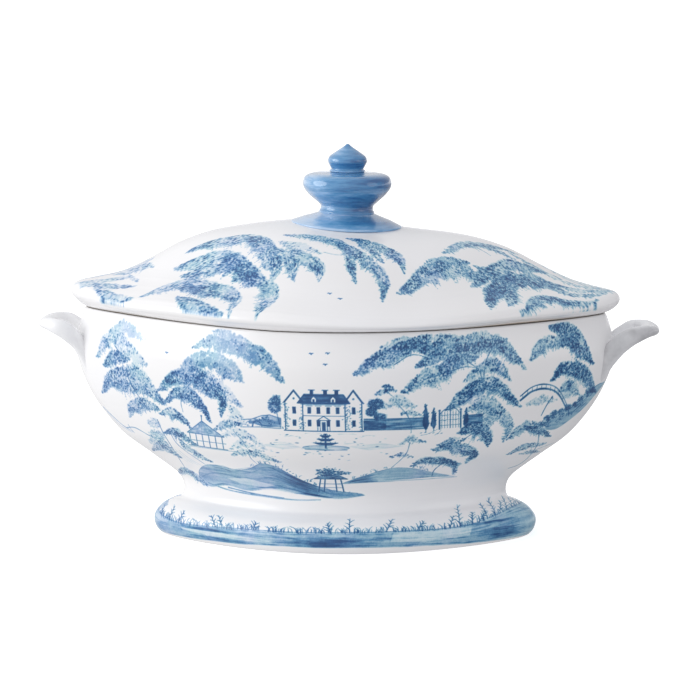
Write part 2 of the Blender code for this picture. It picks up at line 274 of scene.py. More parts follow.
# ---------------------------------------------------------------- the brush
class Panel:
    """A flat stretch of glaze to paint on. ink is 0 for bare glaze and 1 for the darkest cobalt."""

    def __init__(self, low, high, mirror=False):
        self.low = np.array(low, float)
        size = np.ceil((np.array(high) - self.low) / CELL).astype(int) + 1
        self.u = self.low[0] + CELL * np.arange(size[0])
        self.v = self.low[1] + CELL * np.arange(size[1])
        self.ink = np.zeros((size[1], size[0]), np.float32)
        self.mirror = mirror
        self.turn = False

    def place(self, points):
        """The points as they fall on a mirrored or half turned panel."""
        points = np.array(points, float)
        if self.mirror or self.turn:
            points = points * np.array([-1.0, -1.0 if self.turn else 1.0])
        return points

    def window(self, u0, u1, v0, v1):
        """The first and last cells of a rectangle, along u and along v."""
        i = max(0, int((u0 - self.low[0]) / CELL))
        j = min(len(self.u), int((u1 - self.low[0]) / CELL) + 2)
        k = max(0, int((v0 - self.low[1]) / CELL))
        n = min(len(self.v), int((v1 - self.low[1]) / CELL) + 2)
        return i, j, k, n

    def dab(self, u, v, a, b, heading, strength, soft, wash):
        """One touch of the brush: a soft-edged ellipse with half axes a and b. It covers what is paler than
        itself, or as a wash adds to it, or as a "lift" takes ink off."""
        reach = max(a, b)
        i, j, k, n = self.window(u - reach, u + reach, v - reach, v + reach)
        if i >= j or k >= n:
            return
        du = self.u[i:j] - u
        dv = (self.v[k:n] - v)[:, None]
        c = math.cos(heading)
        s = math.sin(heading)
        q = ((du * c + dv * s) / a) ** 2 + ((dv * c - du * s) / b) ** 2
        mark = np.clip((1 - np.sqrt(q)) / soft, 0, 1) * strength
        patch = self.ink[k:n, i:j]
        if wash == "lift":
            patch *= 1 - mark
        elif wash:
            patch += (1 - patch) * mark
        else:
            np.maximum(patch, mark, out=patch)

    def dabs(self, points, a, b, heading, strength, soft=0.6, wash=False):
        """A touch at each point. Each measure is one number for them all or a list."""
        points = self.place(points)
        heading = np.broadcast_to(heading, len(points))
        if self.mirror:
            heading = -heading
        a, b, strength = (np.broadcast_to(measure, len(points)) for measure in (a, b, strength))
        for point, *touch in zip(points, a, b, heading, strength):
            self.dab(*point, *touch, soft, wash)

    def line(self, points, width, strength, taper=0.35):
        """A brush line through the points, thinner towards its end."""
        path = evenly(points, 0.28)
        t = np.linspace(0, 1, len(path))
        half = width * (1 - taper * t) * (0.92 + 0.08 * np.sin(t * 23 + len(path)))
        self.dabs(path, half, half, 0.0, strength * (0.9 + 0.1 * np.cos(t * 17)), 0.7)

    def straight(self, points, width, strength):
        """A line with corners."""
        for start, end in zip(points, points[1:]):
            count = max(2, int(math.dist(start, end) / 0.25))
            path = np.linspace(start, end, count)
            self.dabs(path, width, width, 0.0, strength, 0.7)

    def inside(self, points):
        """The window over a polygon, the places of its cells, and how far each is covered, from 0 to 1."""
        corners = self.place(points)
        (u0, v0), (u1, v1) = corners.min(0) - 1, corners.max(0) + 1
        i, j, k, n = self.window(u0, u1, v0, v1)
        gu, gv = np.meshgrid(self.u[i:j], self.v[k:n])
        cover = np.zeros(gu.shape)
        for du, dv in ((-0.25, -0.25), (0.25, -0.25), (-0.25, 0.25), (0.25, 0.25)):
            su = gu + du * CELL
            sv = gv + dv * CELL
            hit = np.zeros(gu.shape, bool)
            for a, b in zip(corners, np.roll(corners, -1, 0)):
                crosses = (a[1] > sv) != (b[1] > sv)
                rise = b[1] - a[1] if abs(b[1] - a[1]) > 1e-9 else 1e-9
                hit ^= crosses & (su < (b[0] - a[0]) * (sv - a[1]) / rise + a[0])
            cover += hit / 4.0
        return (slice(k, n), slice(i, j)), gu, gv, cover

    def fill(self, points, strength, grain, stretch, seed):
        """A filled shape, streaked as a loaded flat brush leaves it: grain is how much, and stretch is the
        size of the streaks."""
        where, gu, gv, cover = self.inside(points)
        streak = value_noise(gu / stretch[0], gv / stretch[1], seed)
        mark = cover * np.clip(strength * (1 + grain * 5 * (streak - 0.5)), 0, 1)
        patch = self.ink[where]
        patch += (1 - patch) * mark

    def wipe(self, points, keep=0.0):
        """Takes the ink off inside a shape."""
        where, _, _, cover = self.inside(points)
        self.ink[where] *= 1 - cover * (1 - keep)

    def read(self, u, v):
        """The ink at each point, between the cells."""
        x = np.clip((u - self.low[0]) / CELL, 0, len(self.u) - 1.001)
        y = np.clip((v - self.low[1]) / CELL, 0, len(self.v) - 1.001)
        i = x.astype(int)
        k = y.astype(int)
        fx = x - i
        fy = y - k
        ink = self.ink
        level = (ink[k, i] * (1 - fx) + ink[k, i + 1] * fx) * (1 - fy)
        level += (ink[k + 1, i] * (1 - fx) + ink[k + 1, i + 1] * fx) * fy
        off = (u < self.u[0]) | (u > self.u[-1]) | (v < self.v[0]) | (v > self.v[-1])
        return np.where(off, 0, level)


def value_noise(u, v, seed):
    """Smooth noise from 0 to 1 over the plane, in unit cells."""
    i = np.floor(u).astype(np.int64)
    k = np.floor(v).astype(np.int64)
    fu = u - i
    fv = v - k
    fu = fu * fu * (3 - 2 * fu)
    fv = fv * fv * (3 - 2 * fv)

    def corner(di, dk):
        h = (i + di) * 374761393 + (k + dk) * 668265263 + seed * 974634777
        h = (h ^ (h >> 13)) * 1274126177
        return ((h ^ (h >> 16)) & 0xFFFF) / 65535.0

    low = corner(0, 0) * (1 - fu) + corner(1, 0) * fu
    high = corner(0, 1) * (1 - fu) + corner(1, 1) * fu
    return low * (1 - fv) + high * fv


class Painter:
    """Draws trees, hills, grass and buildings on a panel. Its chance is seeded, so it paints the same each
    time."""

    def __init__(self, panel, seed):
        self.panel = panel
        self.chance = np.random.default_rng(seed)
        self.seed = seed

    def frond(self, spine, depth, tone, side=None, teeth=1.0, pale=1.0, combed=False):
        """An arching spray of leaves. Its leaves hang from the spine on its hollow side, or on the side
        given, and thin out to both ends. depth is how deep it hangs at its fullest, tone is how dark it is,
        from 0 to 1, teeth is how ragged its edge is, and pale is how strong the flat tone is that lies under
        its leaves. A combed one has its leaves laid along the spine instead of across it."""
        rng = self.chance
        tone = min(1.0, 0.05 + 1.12 * tone)
        path = evenly(spine, 0.5)
        n = len(path)
        length = 0.5 * n
        along = np.gradient(path, axis=0)
        along /= np.linalg.norm(along, axis=1)[:, None]
        chord = path[-1] - path[0]
        middle = path[n // 2] - path[0]
        bulge = chord[0] * middle[1] - chord[1] * middle[0]
        hang = -math.copysign(1.0, bulge) if side is None else side
        across = hang * np.stack([-along[:, 1], along[:, 0]], 1)
        t = np.linspace(0, 1, n)
        wave = value_noise(t * length / 6.0, np.full(n, 3.3), self.seed + n)
        full = depth * np.sin(math.pi * t**0.9) ** 0.72 * (0.66 + 0.62 * wave)
        area = length * depth

        def scatter(count, low, high, lean=1.0, loose=0.3):
            at = np.clip((rng.random(count) * n).astype(int), 0, n - 1)
            share = low + (high - low) * rng.random(count) ** lean
            spot = path[at] + across[at] * (share * full[at])[:, None] + rng.normal(0, loose, (count, 2))
            way = along[at] if combed else across[at]
            heading = np.arctan2(way[:, 1], way[:, 0]) + rng.normal(0, 0.3 if combed else 0.8, count)
            return spot, heading, at, share

        def patches(spot, size, seed):
            return value_noise(spot[:, 0] / size, spot[:, 1] / size, self.seed + seed + n)

        long = 2.6 if combed else 1.2
        slim = 0.72 if combed else 1.0
        # a bare edge parts it from whatever lies behind
        edge = path - across * 0.8
        self.panel.dabs(edge[4:-4:2], 1.0, 1.0, 0.0, 0.12 + 0.25 * tone, 1.0, "lift")
        # its body: one flat pale tone with a scalloped edge
        spot, heading, at, share = scatter(int(area * 0.6), 0.0, 0.98, 1.0, 0.2)
        size = (0.75 + 0.75 * rng.random(len(spot))) * np.clip(full[at] / 5.0, 0.35, 1.25)
        smooth = pale > 1.15
        dotted = 0.5 if smooth else 1.0
        body = (0.13 + 0.15 * tone) * pale * (1.35 if smooth else 1.0) * (0.7 + 0.6 * patches(spot, 5.0, 3))
        self.panel.dabs(spot, size * 1.3, size, heading, body, 0.45)
        # leaves in the middle tone, in loose patches with gaps between them
        spot, heading, at, share = scatter(int(area * dotted * (0.36 + 0.42 * tone)), -0.03, 1.0)
        likely = 0.25 + 0.55 * tone + 1.7 * (patches(spot, 3.0, 7) - 0.45)
        keep = rng.random(len(spot)) < np.clip(likely, 0.06, 1)
        size = (0.55 + 0.38 * rng.random(len(spot))) * slim
        strength = (0.38 + 0.30 * tone) * (0.75 + 0.5 * rng.random(len(spot)))
        self.panel.dabs(spot[keep], size[keep] * long, size[keep], heading[keep], strength[keep], 0.62)
        # dark leaves, in clusters along the thick of it
        spot, heading, at, share = scatter(int(area * dotted * (0.10 + 0.66 * tone)), 0.0, 0.9)
        dense = 2.2 * (patches(spot, 6.0, 11) - 0.56 + 0.36 * tone) + 0.7 * (patches(spot, 1.9, 13) - 0.5)
        likely = dense * np.sin(math.pi * np.clip(t[at], 0.06, 1)) ** 0.4
        keep = rng.random(len(spot)) < np.clip(likely, 0.015, 1)
        size = (0.58 + 0.38 * rng.random(len(spot))) * slim
        strength = np.clip((0.66 + 0.56 * tone) * (0.72 + 0.5 * rng.random(len(spot))), 0, 1)
        self.panel.dabs(spot[keep], size[keep] * long, size[keep], heading[keep], strength[keep], 0.62)
        # light between the leaves
        spot, heading, at, share = scatter(int(area * 0.16), 0.05, 1.0)
        size = 0.45 + 0.35 * rng.random(len(spot))
        self.panel.dabs(spot, size * long, size, heading, 0.35 + 0.3 * rng.random(len(spot)), 0.8, "lift")
        # stray leaves past the edges
        spot, heading, at, share = scatter(int(area * 0.09 * teeth) + 2, 0.8, 1.2, 1.0, 0.5)
        size = 0.40 + 0.25 * rng.random(len(spot))
        self.panel.dabs(spot, size * 1.2, size, heading, (0.3 + 0.45 * tone) * rng.random(len(spot)), 0.7)
        # tufts along the hollow edge
        for at in np.arange(rng.integers(2, 6), n - 2, 6):
            at = int(np.clip(at + rng.integers(-2, 3), 1, n - 2))
            if rng.random() > 0.85 * teeth:
                continue
            reach = full[at] * (0.18 + 0.34 * rng.random()) + 0.9
            lean = across[at] + along[at] * rng.normal(0.15, 0.3)
            start = path[at] + across[at] * full[at] * 0.80
            steps = np.linspace(0, 1, 6)[:, None]
            spots = start + lean * reach * steps + rng.normal(0, 0.22, (6, 2))
            size = 0.95 - 0.5 * steps[:, 0]
            turn = math.atan2(lean[1], lean[0])
            self.panel.dabs(spots, size * 1.2, size, turn, (0.2 + 0.16 * tone) * pale, 0.5)
            strength = (0.34 + 0.42 * tone) * (1 - 0.3 * steps[:, 0]) * (0.5 + 0.8 * rng.random(6))
            self.panel.dabs(spots, size * 0.8, size * 0.62, turn, strength, 0.65)

    def clump(self, centre, radius, tone, squeeze=0.7):
        """A round tuft of leaves."""
        rng = self.chance
        area = math.pi * radius * radius * squeeze
        for share, size, low, high in (
            (0.9, 1.25, 0.14 + 0.14 * tone, 0.18 + 0.16 * tone),
            (1.0, 0.74, 0.30 + 0.2 * tone, 0.46 + 0.3 * tone),
            (1.7 * tone * tone, 0.66, 0.62 + 0.3 * tone, 0.8 + 0.4 * tone),
        ):
            count = int(area * share) + 1
            heading = rng.random(count) * math.tau
            out = np.sqrt(rng.random(count)) * radius * (0.9 + 0.2 * rng.random(count))
            spot = np.array(centre) + np.stack([out * np.cos(heading), out * np.sin(heading) * squeeze], 1)
            patch = value_noise(spot[:, 0] / 2.4, spot[:, 1] / 2.4, self.seed + 31)
            keep = (size > 1) | (rng.random(count) < 0.35 + 0.4 * tone + 1.3 * (patch - 0.5))
            strength = np.clip(low + (high - low) * rng.random(count), 0, 1)
            across = size * (0.7 + 0.6 * rng.random(count))
            spot, across, heading, strength = (part[keep] for part in (spot, across, heading, strength))
            self.panel.dabs(spot, across, across * 0.8, heading, strength, 0.8)

    def twig(self, points, width, strength):
        self.panel.line(points, width, strength)

    def hill(self, top, bottom, tone, dark=()):
        """A bank of ground between two lines: a smooth wash, then long strokes of a nearly dry brush that
        follow its slope. dark gives some more, as (start, end, strength), in shares of its length."""
        rng = self.chance
        top = evenly(top, 1.0)
        bottom = evenly(bottom, 1.0)
        self.panel.fill(np.vstack([top, bottom[::-1]]), tone * 0.72, 0.14, (22.0, 1.8), self.seed)
        count = min(len(top), len(bottom))
        upper = top[np.linspace(0, len(top) - 1, count).astype(int)]
        lower = bottom[np.linspace(0, len(bottom) - 1, count).astype(int)]

        def stroke(start, end, share, width, strength):
            drift = np.linspace(share, min(0.97, share + 0.12 * rng.random()), end - start)[:, None]
            run = upper[start:end] * (1 - drift) + lower[start:end] * drift
            path = evenly(run[:: max(1, len(run) // 6)], 0.4)
            t = np.linspace(0, 1, len(path))
            shape = np.sin(math.pi * np.clip(t, 0.02, 0.98)) ** 0.45
            streak = value_noise(t * len(path) * 0.07, np.full(len(path), share * 9), self.seed + 3)
            slope = np.gradient(path[:, 1]) / 0.4
            inked = strength * (0.65 + 0.7 * streak) * shape
            self.panel.dabs(path, 1.6 * width, width * shape, slope, inked, 0.95)

        for _ in range(int(count * 0.30) + 4):
            start = int(rng.random() * count * 0.85)
            end = min(count - 1, start + int(10 + rng.random() * count * 0.35))
            if end - start >= 5:
                share, width = 0.04 + 0.9 * rng.random(), 0.5 + 1.1 * rng.random()
                stroke(start, end, share, width, tone * (0.55 + rng.random()))
        for start, end, strength in dark:
            i = int(start * (count - 1))
            j = int(end * (count - 1))
            for share in np.linspace(0.05, 0.92, 14):
                low = i + int(rng.random() * 0.25 * (j - i))
                high = j - int(rng.random() * 0.25 * (j - i))
                if high - low >= 5:
                    width = 0.8 + 0.9 * rng.random()
                    stroke(low, high, share, width, strength * (0.75 + 0.4 * rng.random()))
        self.panel.line(top[:: max(1, len(top) // 14)], 0.46, min(1, tone + 0.35), 0.2)

    def grass(self, where, height, count, spread, tone, down=1.0):
        """Blades of grass round a point."""
        rng = self.chance
        for _ in range(count):
            root = np.array(where) + np.array([rng.normal(0, spread / 2), rng.normal(0, 0.25)])
            lean = rng.normal(0, 0.5)
            tall = height * (0.45 + 0.8 * rng.random()) * down
            tip = root + np.array([lean * abs(tall), tall])
            bend = (root + tip) / 2 + np.array([-lean * 0.25 * abs(tall), 0.1 * tall])
            self.panel.line([root, bend, tip], 0.5, tone * (0.75 + 0.3 * rng.random()), 0.5)

    def fern(self, root, tip, leaves, reach, tone):
        """A stem with paired leaves."""
        root = np.array(root, float)
        tip = np.array(tip, float)
        rng = self.chance
        along = (tip - root) / np.linalg.norm(tip - root)
        side = np.array([-along[1], along[0]])
        middle = (root + tip) / 2 + side * rng.normal(0, 0.5)
        self.panel.line([root, middle, tip], 0.5, tone)
        for i in range(leaves):
            at = root + (tip - root) * (0.12 + 0.85 * (i + 0.3 * rng.random()) / leaves)
            way = (1 if i % 2 else -1) * side
            length = reach * (1.15 - 0.6 * i / leaves) * (0.7 + 0.6 * rng.random())
            end = at + (along * (0.5 + 0.5 * rng.random()) + way * 0.9) * length
            self.panel.line([at, (at + end) / 2 + along * 0.3, end], 0.62, tone, 0.6)

    def bird(self, where):
        u, v = where
        size = 1.3
        self.panel.line([(u - size, v + 0.5 * size), (u - 0.4 * size, v + 0.6 * size), (u, v)], 0.55, 1.0)
        self.panel.line([(u, v), (u + 0.5 * size, v + 0.65 * size), (u + size, v + 0.5 * size)], 0.5, 0.95)
        self.panel.dabs([(u, v + 0.2)], 0.7, 0.6, 0.0, 1.0)

    def window_pane(self, u, v, width, height, tone=1.0):
        self.panel.fill(quad(u - width / 2, v, u + width / 2, v + height), tone, 0.05, (3, 3), 3)

    def cypress(self, u, v, tall, wide):
        side = [(u, v), (u - wide, v + 0.25 * tall), (u - 0.7 * wide, v + 0.6 * tall), (u, v + tall)]
        other = [(u + 0.8 * wide, v + 0.62 * tall), (u + wide, v + 0.22 * tall)]
        self.panel.fill(side + other, 0.8, 0.14, (0.9, 5.0), self.seed + 5)
        rng = self.chance
        for share in np.linspace(0.1, 0.95, int(tall * 1.4)):
            half = wide * math.sin(math.pi * share**0.8) + 0.3
            spot = (u + rng.uniform(-1, 1) * half, v + share * tall)
            self.panel.dabs([spot], 0.9, 0.5, 1.2, 0.75 + 0.25 * rng.random(), 0.6)
        self.panel.line([(u, v - 1.2), (u, v), (u, v + 0.4 * tall)], 0.42, 0.9)


def quad(u0, v0, u1, v1):
    return [(u0, v0), (u1, v0), (u1, v1), (u0, v1)]


def oval(u, v, wide, tall, count):
    """A closed ring of points."""
    return [(u + wide * math.cos(a), v + tall * math.sin(a)) for a in np.linspace(0, math.tau, count)]


# ---------------------------------------------------------------- the bowl's front and back
def left_trees(p):
    """The leaning tree by the left handle and the spreading one beside it."""
    f = p.frond
    f([(-186, 140), (-168, 148), (-146, 138)], 7, 0.08, pale=1.2)
    f([(-199, 122), (-190, 137), (-175, 141), (-160, 133)], 9, 0.30)
    f([(-180, 137), (-162, 134), (-145, 122)], 9, 0.20, pale=0.8)
    f([(-192, 117), (-180, 128), (-163, 124)], 9, 0.72)
    f([(-168, 118), (-156, 121), (-141, 111)], 7, 0.18, pale=0.8)
    f([(-198, 96), (-188, 111), (-168, 118), (-147, 113), (-129, 94)], 15, 0.55)
    f([(-188, 103), (-170, 109), (-150, 106), (-139, 98)], 8, 0.5, pale=0.7)
    f([(-170, 78), (-168, 90), (-153, 97), (-135, 90)], 11, 0.55)
    f([(-137, 86), (-125, 92), (-112, 84), (-108, 76)], 8, 0.66)
    p.clump((-144, 76), 6.5, 0.35)
    f([(-136, 68), (-122, 74), (-105, 60)], 8, 0.7)
    p.clump((-143, 64), 8.0, 0.5)
    p.clump((-148, 55), 7.0, 0.3)
    f([(-157, 41), (-146, 55), (-136, 58), (-124, 38)], 12, 0.42)
    f([(-121, 64), (-111, 55), (-94, 39)], 6, 0.55)
    f([(-141, 12), (-125, 23), (-109, 7)], 8, 0.5)
    f([(-126, 18), (-118, 20), (-104, 6)], 6, 0.55)
    p.twig([(-178, 131), (-173, 127), (-168, 122)], 0.6, 0.9)
    p.twig([(-166, 117), (-164, 109), (-156, 98), (-149, 89), (-146, 86)], 0.62, 0.9)
    p.twig([(-140, 80), (-136, 68), (-131, 55), (-128, 40), (-124, 20)], 0.6, 0.85)
    p.twig([(-129, 70), (-124, 58), (-112, 44), (-98, 30)], 0.55, 0.75)
    for k in range(4):
        p.twig([(-136 + 4 * k, 52 - k), (-128 + 4 * k, 42 - k), (-119 + 5 * k, 33 - k)], 0.4, 0.3)
    f([(-88, 149), (-75, 151), (-52, 142)], 8, 0.20, pale=1.5)
    f([(-103, 137), (-88, 146), (-71, 142), (-54, 137)], 8, 0.16, pale=1.6)
    f([(-72, 145), (-50, 141), (-40, 132), (-33, 119)], 11, 0.48, pale=1.5)
    f([(-117, 119), (-103, 132), (-86, 135), (-68, 128), (-62, 117)], 12, 0.22, pale=1.7)
    f([(-84, 128), (-74, 126), (-65, 118)], 8, 0.5, pale=1.2)
    f([(-136, 105), (-123, 118), (-102, 124), (-86, 118), (-76, 104), (-81, 90)], 12, 0.72)
    f([(-112, 119), (-98, 118), (-84, 104)], 8, 0.66)
    f([(-90, 122), (-76, 114), (-64, 99)], 8, 0.18, pale=0.8)
    f([(-130, 97), (-119, 108), (-104, 108), (-93, 95), (-90, 84)], 10, 0.82)
    f([(-76, 103), (-68, 96), (-60, 84)], 7, 0.12, pale=0.7)
    p.twig([(-106, 112), (-112, 106), (-115, 98), (-114, 90)], 0.55, 0.8)
    f([(-88, 78), (-77, 87), (-64, 85)], 6, 0.48)
    f([(-84, 72), (-71, 80), (-58, 76), (-46, 62)], 7, 0.16, pale=0.8)
    f([(-76, 52), (-69, 59), (-54, 59), (-38, 48)], 6, 0.36)
    f([(-76, 60), (-66, 70), (-50, 60)], 6, 0.12, pale=0.7)
    p.twig([(-72, 78), (-66, 70), (-61, 60)], 0.48, 0.65)
    p.twig([(-62, 58), (-60, 50), (-56, 43)], 0.48, 0.7)
    p.twig([(-204, 82), (-194, 76), (-182, 68), (-170, 63)], 1.1, 0.42)
    p.twig([(-200, 78), (-188, 68), (-172, 62)], 0.7, 0.3)
    p.twig([(-178, 66), (-166, 68), (-151, 62), (-140, 60)], 0.8, 0.62)
    p.twig([(-174, 70), (-172, 66), (-169, 62)], 0.5, 0.6)


def pavilion(p):
    """A plain garden shelter: a pitched roof on posts."""
    line = p.panel.straight
    roof = [(-112, 72), (-98, 84), (-80, 71)]
    p.panel.fill(roof, 0.35, 0.2, (2.0, 1.2), 8)
    line([*roof, roof[0]], 0.5, 0.8)
    for k in range(6):
        u = -110 + 5.6 * k
        line([(u, 71.5), (u + 0.6, 59)], 0.5, 0.85)
        line([(-98, 84), (u, 72)], 0.4, 0.55)
    line([(-112, 59), (-78, 58)], 0.55, 0.85)
    line([(-111, 65), (-79, 64.4)], 0.4, 0.7)
    line([(-98, 84), (-98, 88)], 0.5, 0.85)
    p.panel.dabs([(-98, 88.4)], 1.0, 1.0, 0.0, 0.9)
    line([(-114, 57.6), (-72, 57)], 0.4, 0.5)


def country_house(p):
    """A plain house of two storeys with a lower gable at each end, a hipped roof and three chimneys."""
    panel = p.panel
    line = panel.straight
    panel.wipe(quad(-36, 80, 19, 114))
    panel.fill([(-24, 104.5), (-20.5, 110.8), (6.5, 110.8), (10, 104.5)], 0.86, 0.10, (5, 0.9), 4)
    line([(-24.5, 104.3), (-20, 110.8), (6, 110.8), (10.2, 104.3), (-24.5, 104.3)], 0.55, 1.0)
    for u in (-13.6, -0.8):
        dormer = [(u - 1.7, 105.2), (u - 1.7, 107.6), (u, 109.6), (u + 1.7, 107.6), (u + 1.7, 105.2)]
        panel.wipe(dormer)
        line(dormer, 0.36, 0.9)
        p.window_pane(u, 105.2, 1.3, 2.2, 1.0)
    for left, right, peak in ((-33, -21, 113), (7, 18, 113.4)):
        middle = (left + right) / 2
        line([(left, 82), (left, 105), (middle, peak), (right, 105), (right, 82)], 0.48, 1.0)
        line([(left - 1.2, 104.2), (middle, peak + 0.8), (right + 1.2, 104.2)], 0.5, 1.0)
        panel.dabs([(middle, 107.6)], 1.0, 1.0, 0.0, 0.75)
        for floor in (96.2, 86.0):
            p.window_pane(middle + 0.2, floor, 2.4, 5.2)
        for k in range(9):
            panel.dabs([(left + 0.9, 83.5 + 2.5 * k)], 0.8, 0.55, 0.0, 0.55)
            panel.dabs([(right - 0.9, 83.5 + 2.5 * k)], 0.8, 0.55, 0.0, 0.45)
    for u in (-16.6, -10.6, -4.0, 2.2):
        p.window_pane(u, 96.4, 2.3, 5.0)
        p.window_pane(u, 86.0, 2.3, 5.4)
        line([(u - 2, 102.4), (u + 2, 102.4)], 0.4, 0.6)
    p.window_pane(-7.2, 82.4, 2.4, 7.2, 0.9)
    line([(-11.6, 91.0), (-7.2, 94.4), (-2.8, 91.0), (-11.6, 91.0)], 0.42, 0.95)
    for u in (-11.2, -9.6, -4.8, -3.2):
        line([(u, 82), (u, 91)], 0.38, 0.9)
    line([(-20.6, 94.6), (6.8, 94.6)], 0.4, 0.7)
    line([(-20.6, 103.4), (6.8, 103.4)], 0.4, 0.8)
    for u in (-15, -6, 1.5):
        panel.fill(quad(u - 1.2, 110.6, u + 1.2, 114.0), 1.0, 0.05, (2, 2), 2)
        line([(u - 2.0, 114.0), (u + 2.0, 114.0)], 0.4, 0.95)
    line([(-34, 81.8), (19, 81.8)], 0.6, 0.9)
    for u, tall in ((-32.0, 21), (-22.0, 10), (9.0, 20), (17.0, 17)):
        for k in range(2 * tall):
            spot = (u + p.chance.normal(0, 1.3), 83 + 0.5 * k + p.chance.normal(0, 0.7))
            panel.dabs([spot], 0.75, 0.5, 0.6 * k, 0.45 + 0.55 * p.chance.random(), 0.7)


def garden(p):
    """What stands round the house: a round tree, hedges, a fountain, a wall with a gate, and cypresses."""
    panel = p.panel
    line = panel.straight
    rng = p.chance
    for u, v, radius in ((-39.5, 103, 5.2), (-41, 100, 3.8), (-37.6, 105.4, 3.6), (-39.5, 102, 4.6)):
        p.clump((u, v), radius, 1.0, 1.15)
    p.twig([(-39, 97), (-38, 91), (-36.5, 84)], 0.5, 0.85)
    hedge = [(-62, 87.5), (-52, 89.5), (-44, 93.5), (-34, 91.5), (-34, 83.6), (-50, 84.2)]
    panel.fill(hedge, 0.5, 0.2, (4, 1), 3)
    line([(-65, 88.6), (-57, 89.8), (-50, 93), (-44, 94), (-36, 91.6)], 0.55, 0.75)
    for u, v, radius in ((-53, 89, 2.6), (-47, 91, 3.0), (-58, 87, 2.0), (-43, 88, 2.6)):
        p.clump((u, v), radius, 1.0, 0.8)
    p.twig([(-57, 83.6), (-56, 87), (-53.5, 88.4), (-51, 87), (-50, 83.8)], 0.8, 1.0)
    line([(-66, 82.2), (-52, 83.4), (-34, 83.0)], 0.5, 0.7)
    # the wall runs on behind the trees to the right
    panel.fill(quad(19, 83.0, 60, 91.8), 0.60, 0.2, (7, 0.9), 6)
    panel.fill(quad(19, 83.0, 34, 91.0), 0.45, 0.3, (3, 1.2), 9)
    line([(19, 92.2), (60, 91.6)], 0.5, 0.95)
    line([(19, 82.9), (62, 82.4)], 0.5, 0.9)
    panel.fill(quad(90, 83.0, 105, 91.0), 0.66, 0.2, (6, 0.9), 6)
    line([(90, 91.2), (106, 91)], 0.5, 0.9)
    # its gate
    for u in (71.5, 87.5):
        line([(u, 81), (u, 95)], 0.85, 0.85)
        panel.dabs([(u, 96.4)], 1.2, 1.2, 0.0, 0.85)
    p.twig([(71.5, 93), (75, 97), (79.5, 98.4), (84, 97), (87.5, 93)], 0.55, 0.9)
    line([(79.5, 81.5), (79.5, 100.4)], 0.5, 0.85)
    for k in range(7):
        u = 73.2 + 2.1 * k
        line([(u, 81.5), (u, 95.6)], 0.32, 0.7)
    for v in (84, 88.5, 92.5):
        line([(71.5, v), (87.5, v)], 0.32, 0.65)
    for u in (75.4, 83.6):
        p.twig(oval(u, 90.4, 2.3, 2.3, 9), 0.32, 0.7)
    p.cypress(61.5, 80, 23, 2.3)
    p.cypress(67.2, 81, 18.5, 2.0)
    p.cypress(91.5, 79, 19, 2.1)
    for k in range(6):
        u = 58 + 3 * k
        panel.dabs([(u, 78.6 - 0.4 * k + 0.6 * (k % 2))], 1.2, 0.5, 0.2, 0.6, 0.7)
    p.twig([(58, 76.6), (63, 77.4), (70, 81)], 0.4, 0.6)
    p.twig([(68, 76), (71, 78), (73, 80.5)], 0.4, 0.5)
    # the fountain and its pool
    u = -6.4
    for level, half in ((69.4, 8.0), (73.0, 5.4), (76.2, 3.4), (79.0, 1.6)):
        top, low, foot = level + 1.6, level - 0.2, 0.5 * half
        bowl = [(u - half, top), (u - foot, low), (u + foot, low), (u + half, top)]
        panel.fill(bowl, 0.9, 0.1, (1.5, 1.0), 4)
        line([(u - half, level + 1.8), (u + half, level + 1.8)], 0.55, 0.9)
        for k in range(5):
            panel.dabs([(u + half * (0.4 * k - 0.8), level + 2.6)], 0.5, 0.7, 0.0, 0.7, 0.7)
    line([(u, 67), (u, 81.4)], 0.9, 0.95)
    panel.dabs([(u, 82)], 0.8, 1.2, 0.0, 0.85)
    pool = oval(u, 66.4, 15.5, 2.2, 25)
    panel.fill(pool, 0.22, 0.3, (5, 0.7), 12)
    p.twig(pool, 0.5, 0.8)
    line([(u - 14, 64.6), (u + 14, 64.4)], 0.45, 0.6)
    # paths and turf
    for start, end, v in (
        (-20, -9, 79.6), (2, 14, 79.4), (18, 27, 77.6), (-34, -24, 76.5), (6, 20, 70.5), (-42, -28, 70),
    ):
        p.twig([(start, v), ((start + end) / 2, v + 0.5), (end, v - 0.2)], 0.34, 0.35)
    for _ in range(26):
        spot = (rng.uniform(-48, 40), rng.uniform(50, 78))
        panel.dabs([spot], rng.uniform(0.7, 1.7), 0.33, rng.normal(0, 0.15), rng.uniform(0.2, 0.6), 0.8)
    for _ in range(22):
        spot = (rng.uniform(-46, 34), rng.uniform(54, 79))
        panel.dabs([spot], rng.uniform(0.9, 1.9), 0.5, rng.normal(0, 0.12), rng.uniform(0.7, 1.0), 0.7)
    panel.fill([(-54, 67), (-30, 70), (-22, 66), (-36, 64)], 0.10, 0.3, (9, 1), 5)
    panel.fill([(8, 68), (30, 71), (46, 67), (22, 64)], 0.12, 0.3, (9, 1), 6)
    # low trees beyond the house
    for _ in range(3):
        p.clump((27.5, 103.6), 5.2, 1.0, 0.75)
        p.clump((24.5, 98), 3.8, 1.0, 0.9)
        p.clump((30, 93.5), 4.0, 0.9, 0.75)
    f = p.frond
    f([(27, 111), (34, 117.5), (41, 113)], 5, 0.66)
    p.twig([(34, 114), (37, 110.6), (40, 108)], 0.48, 0.8)
    f([(30, 101), (42, 109.5), (55, 101)], 7, 0.26, teeth=1.3)
    f([(44, 96), (52, 98.5), (60, 93)], 4, 0.2)
    p.twig([(43, 102), (48, 95), (51, 88), (51, 79)], 0.55, 0.8)
    f([(42, 69), (52, 76.5), (61, 70)], 5, 0.42)
    f([(36, 56), (45, 60), (53, 54)], 4, 0.46)
    p.twig([(50, 70), (48, 61), (44, 53), (37, 42)], 0.5, 0.75)


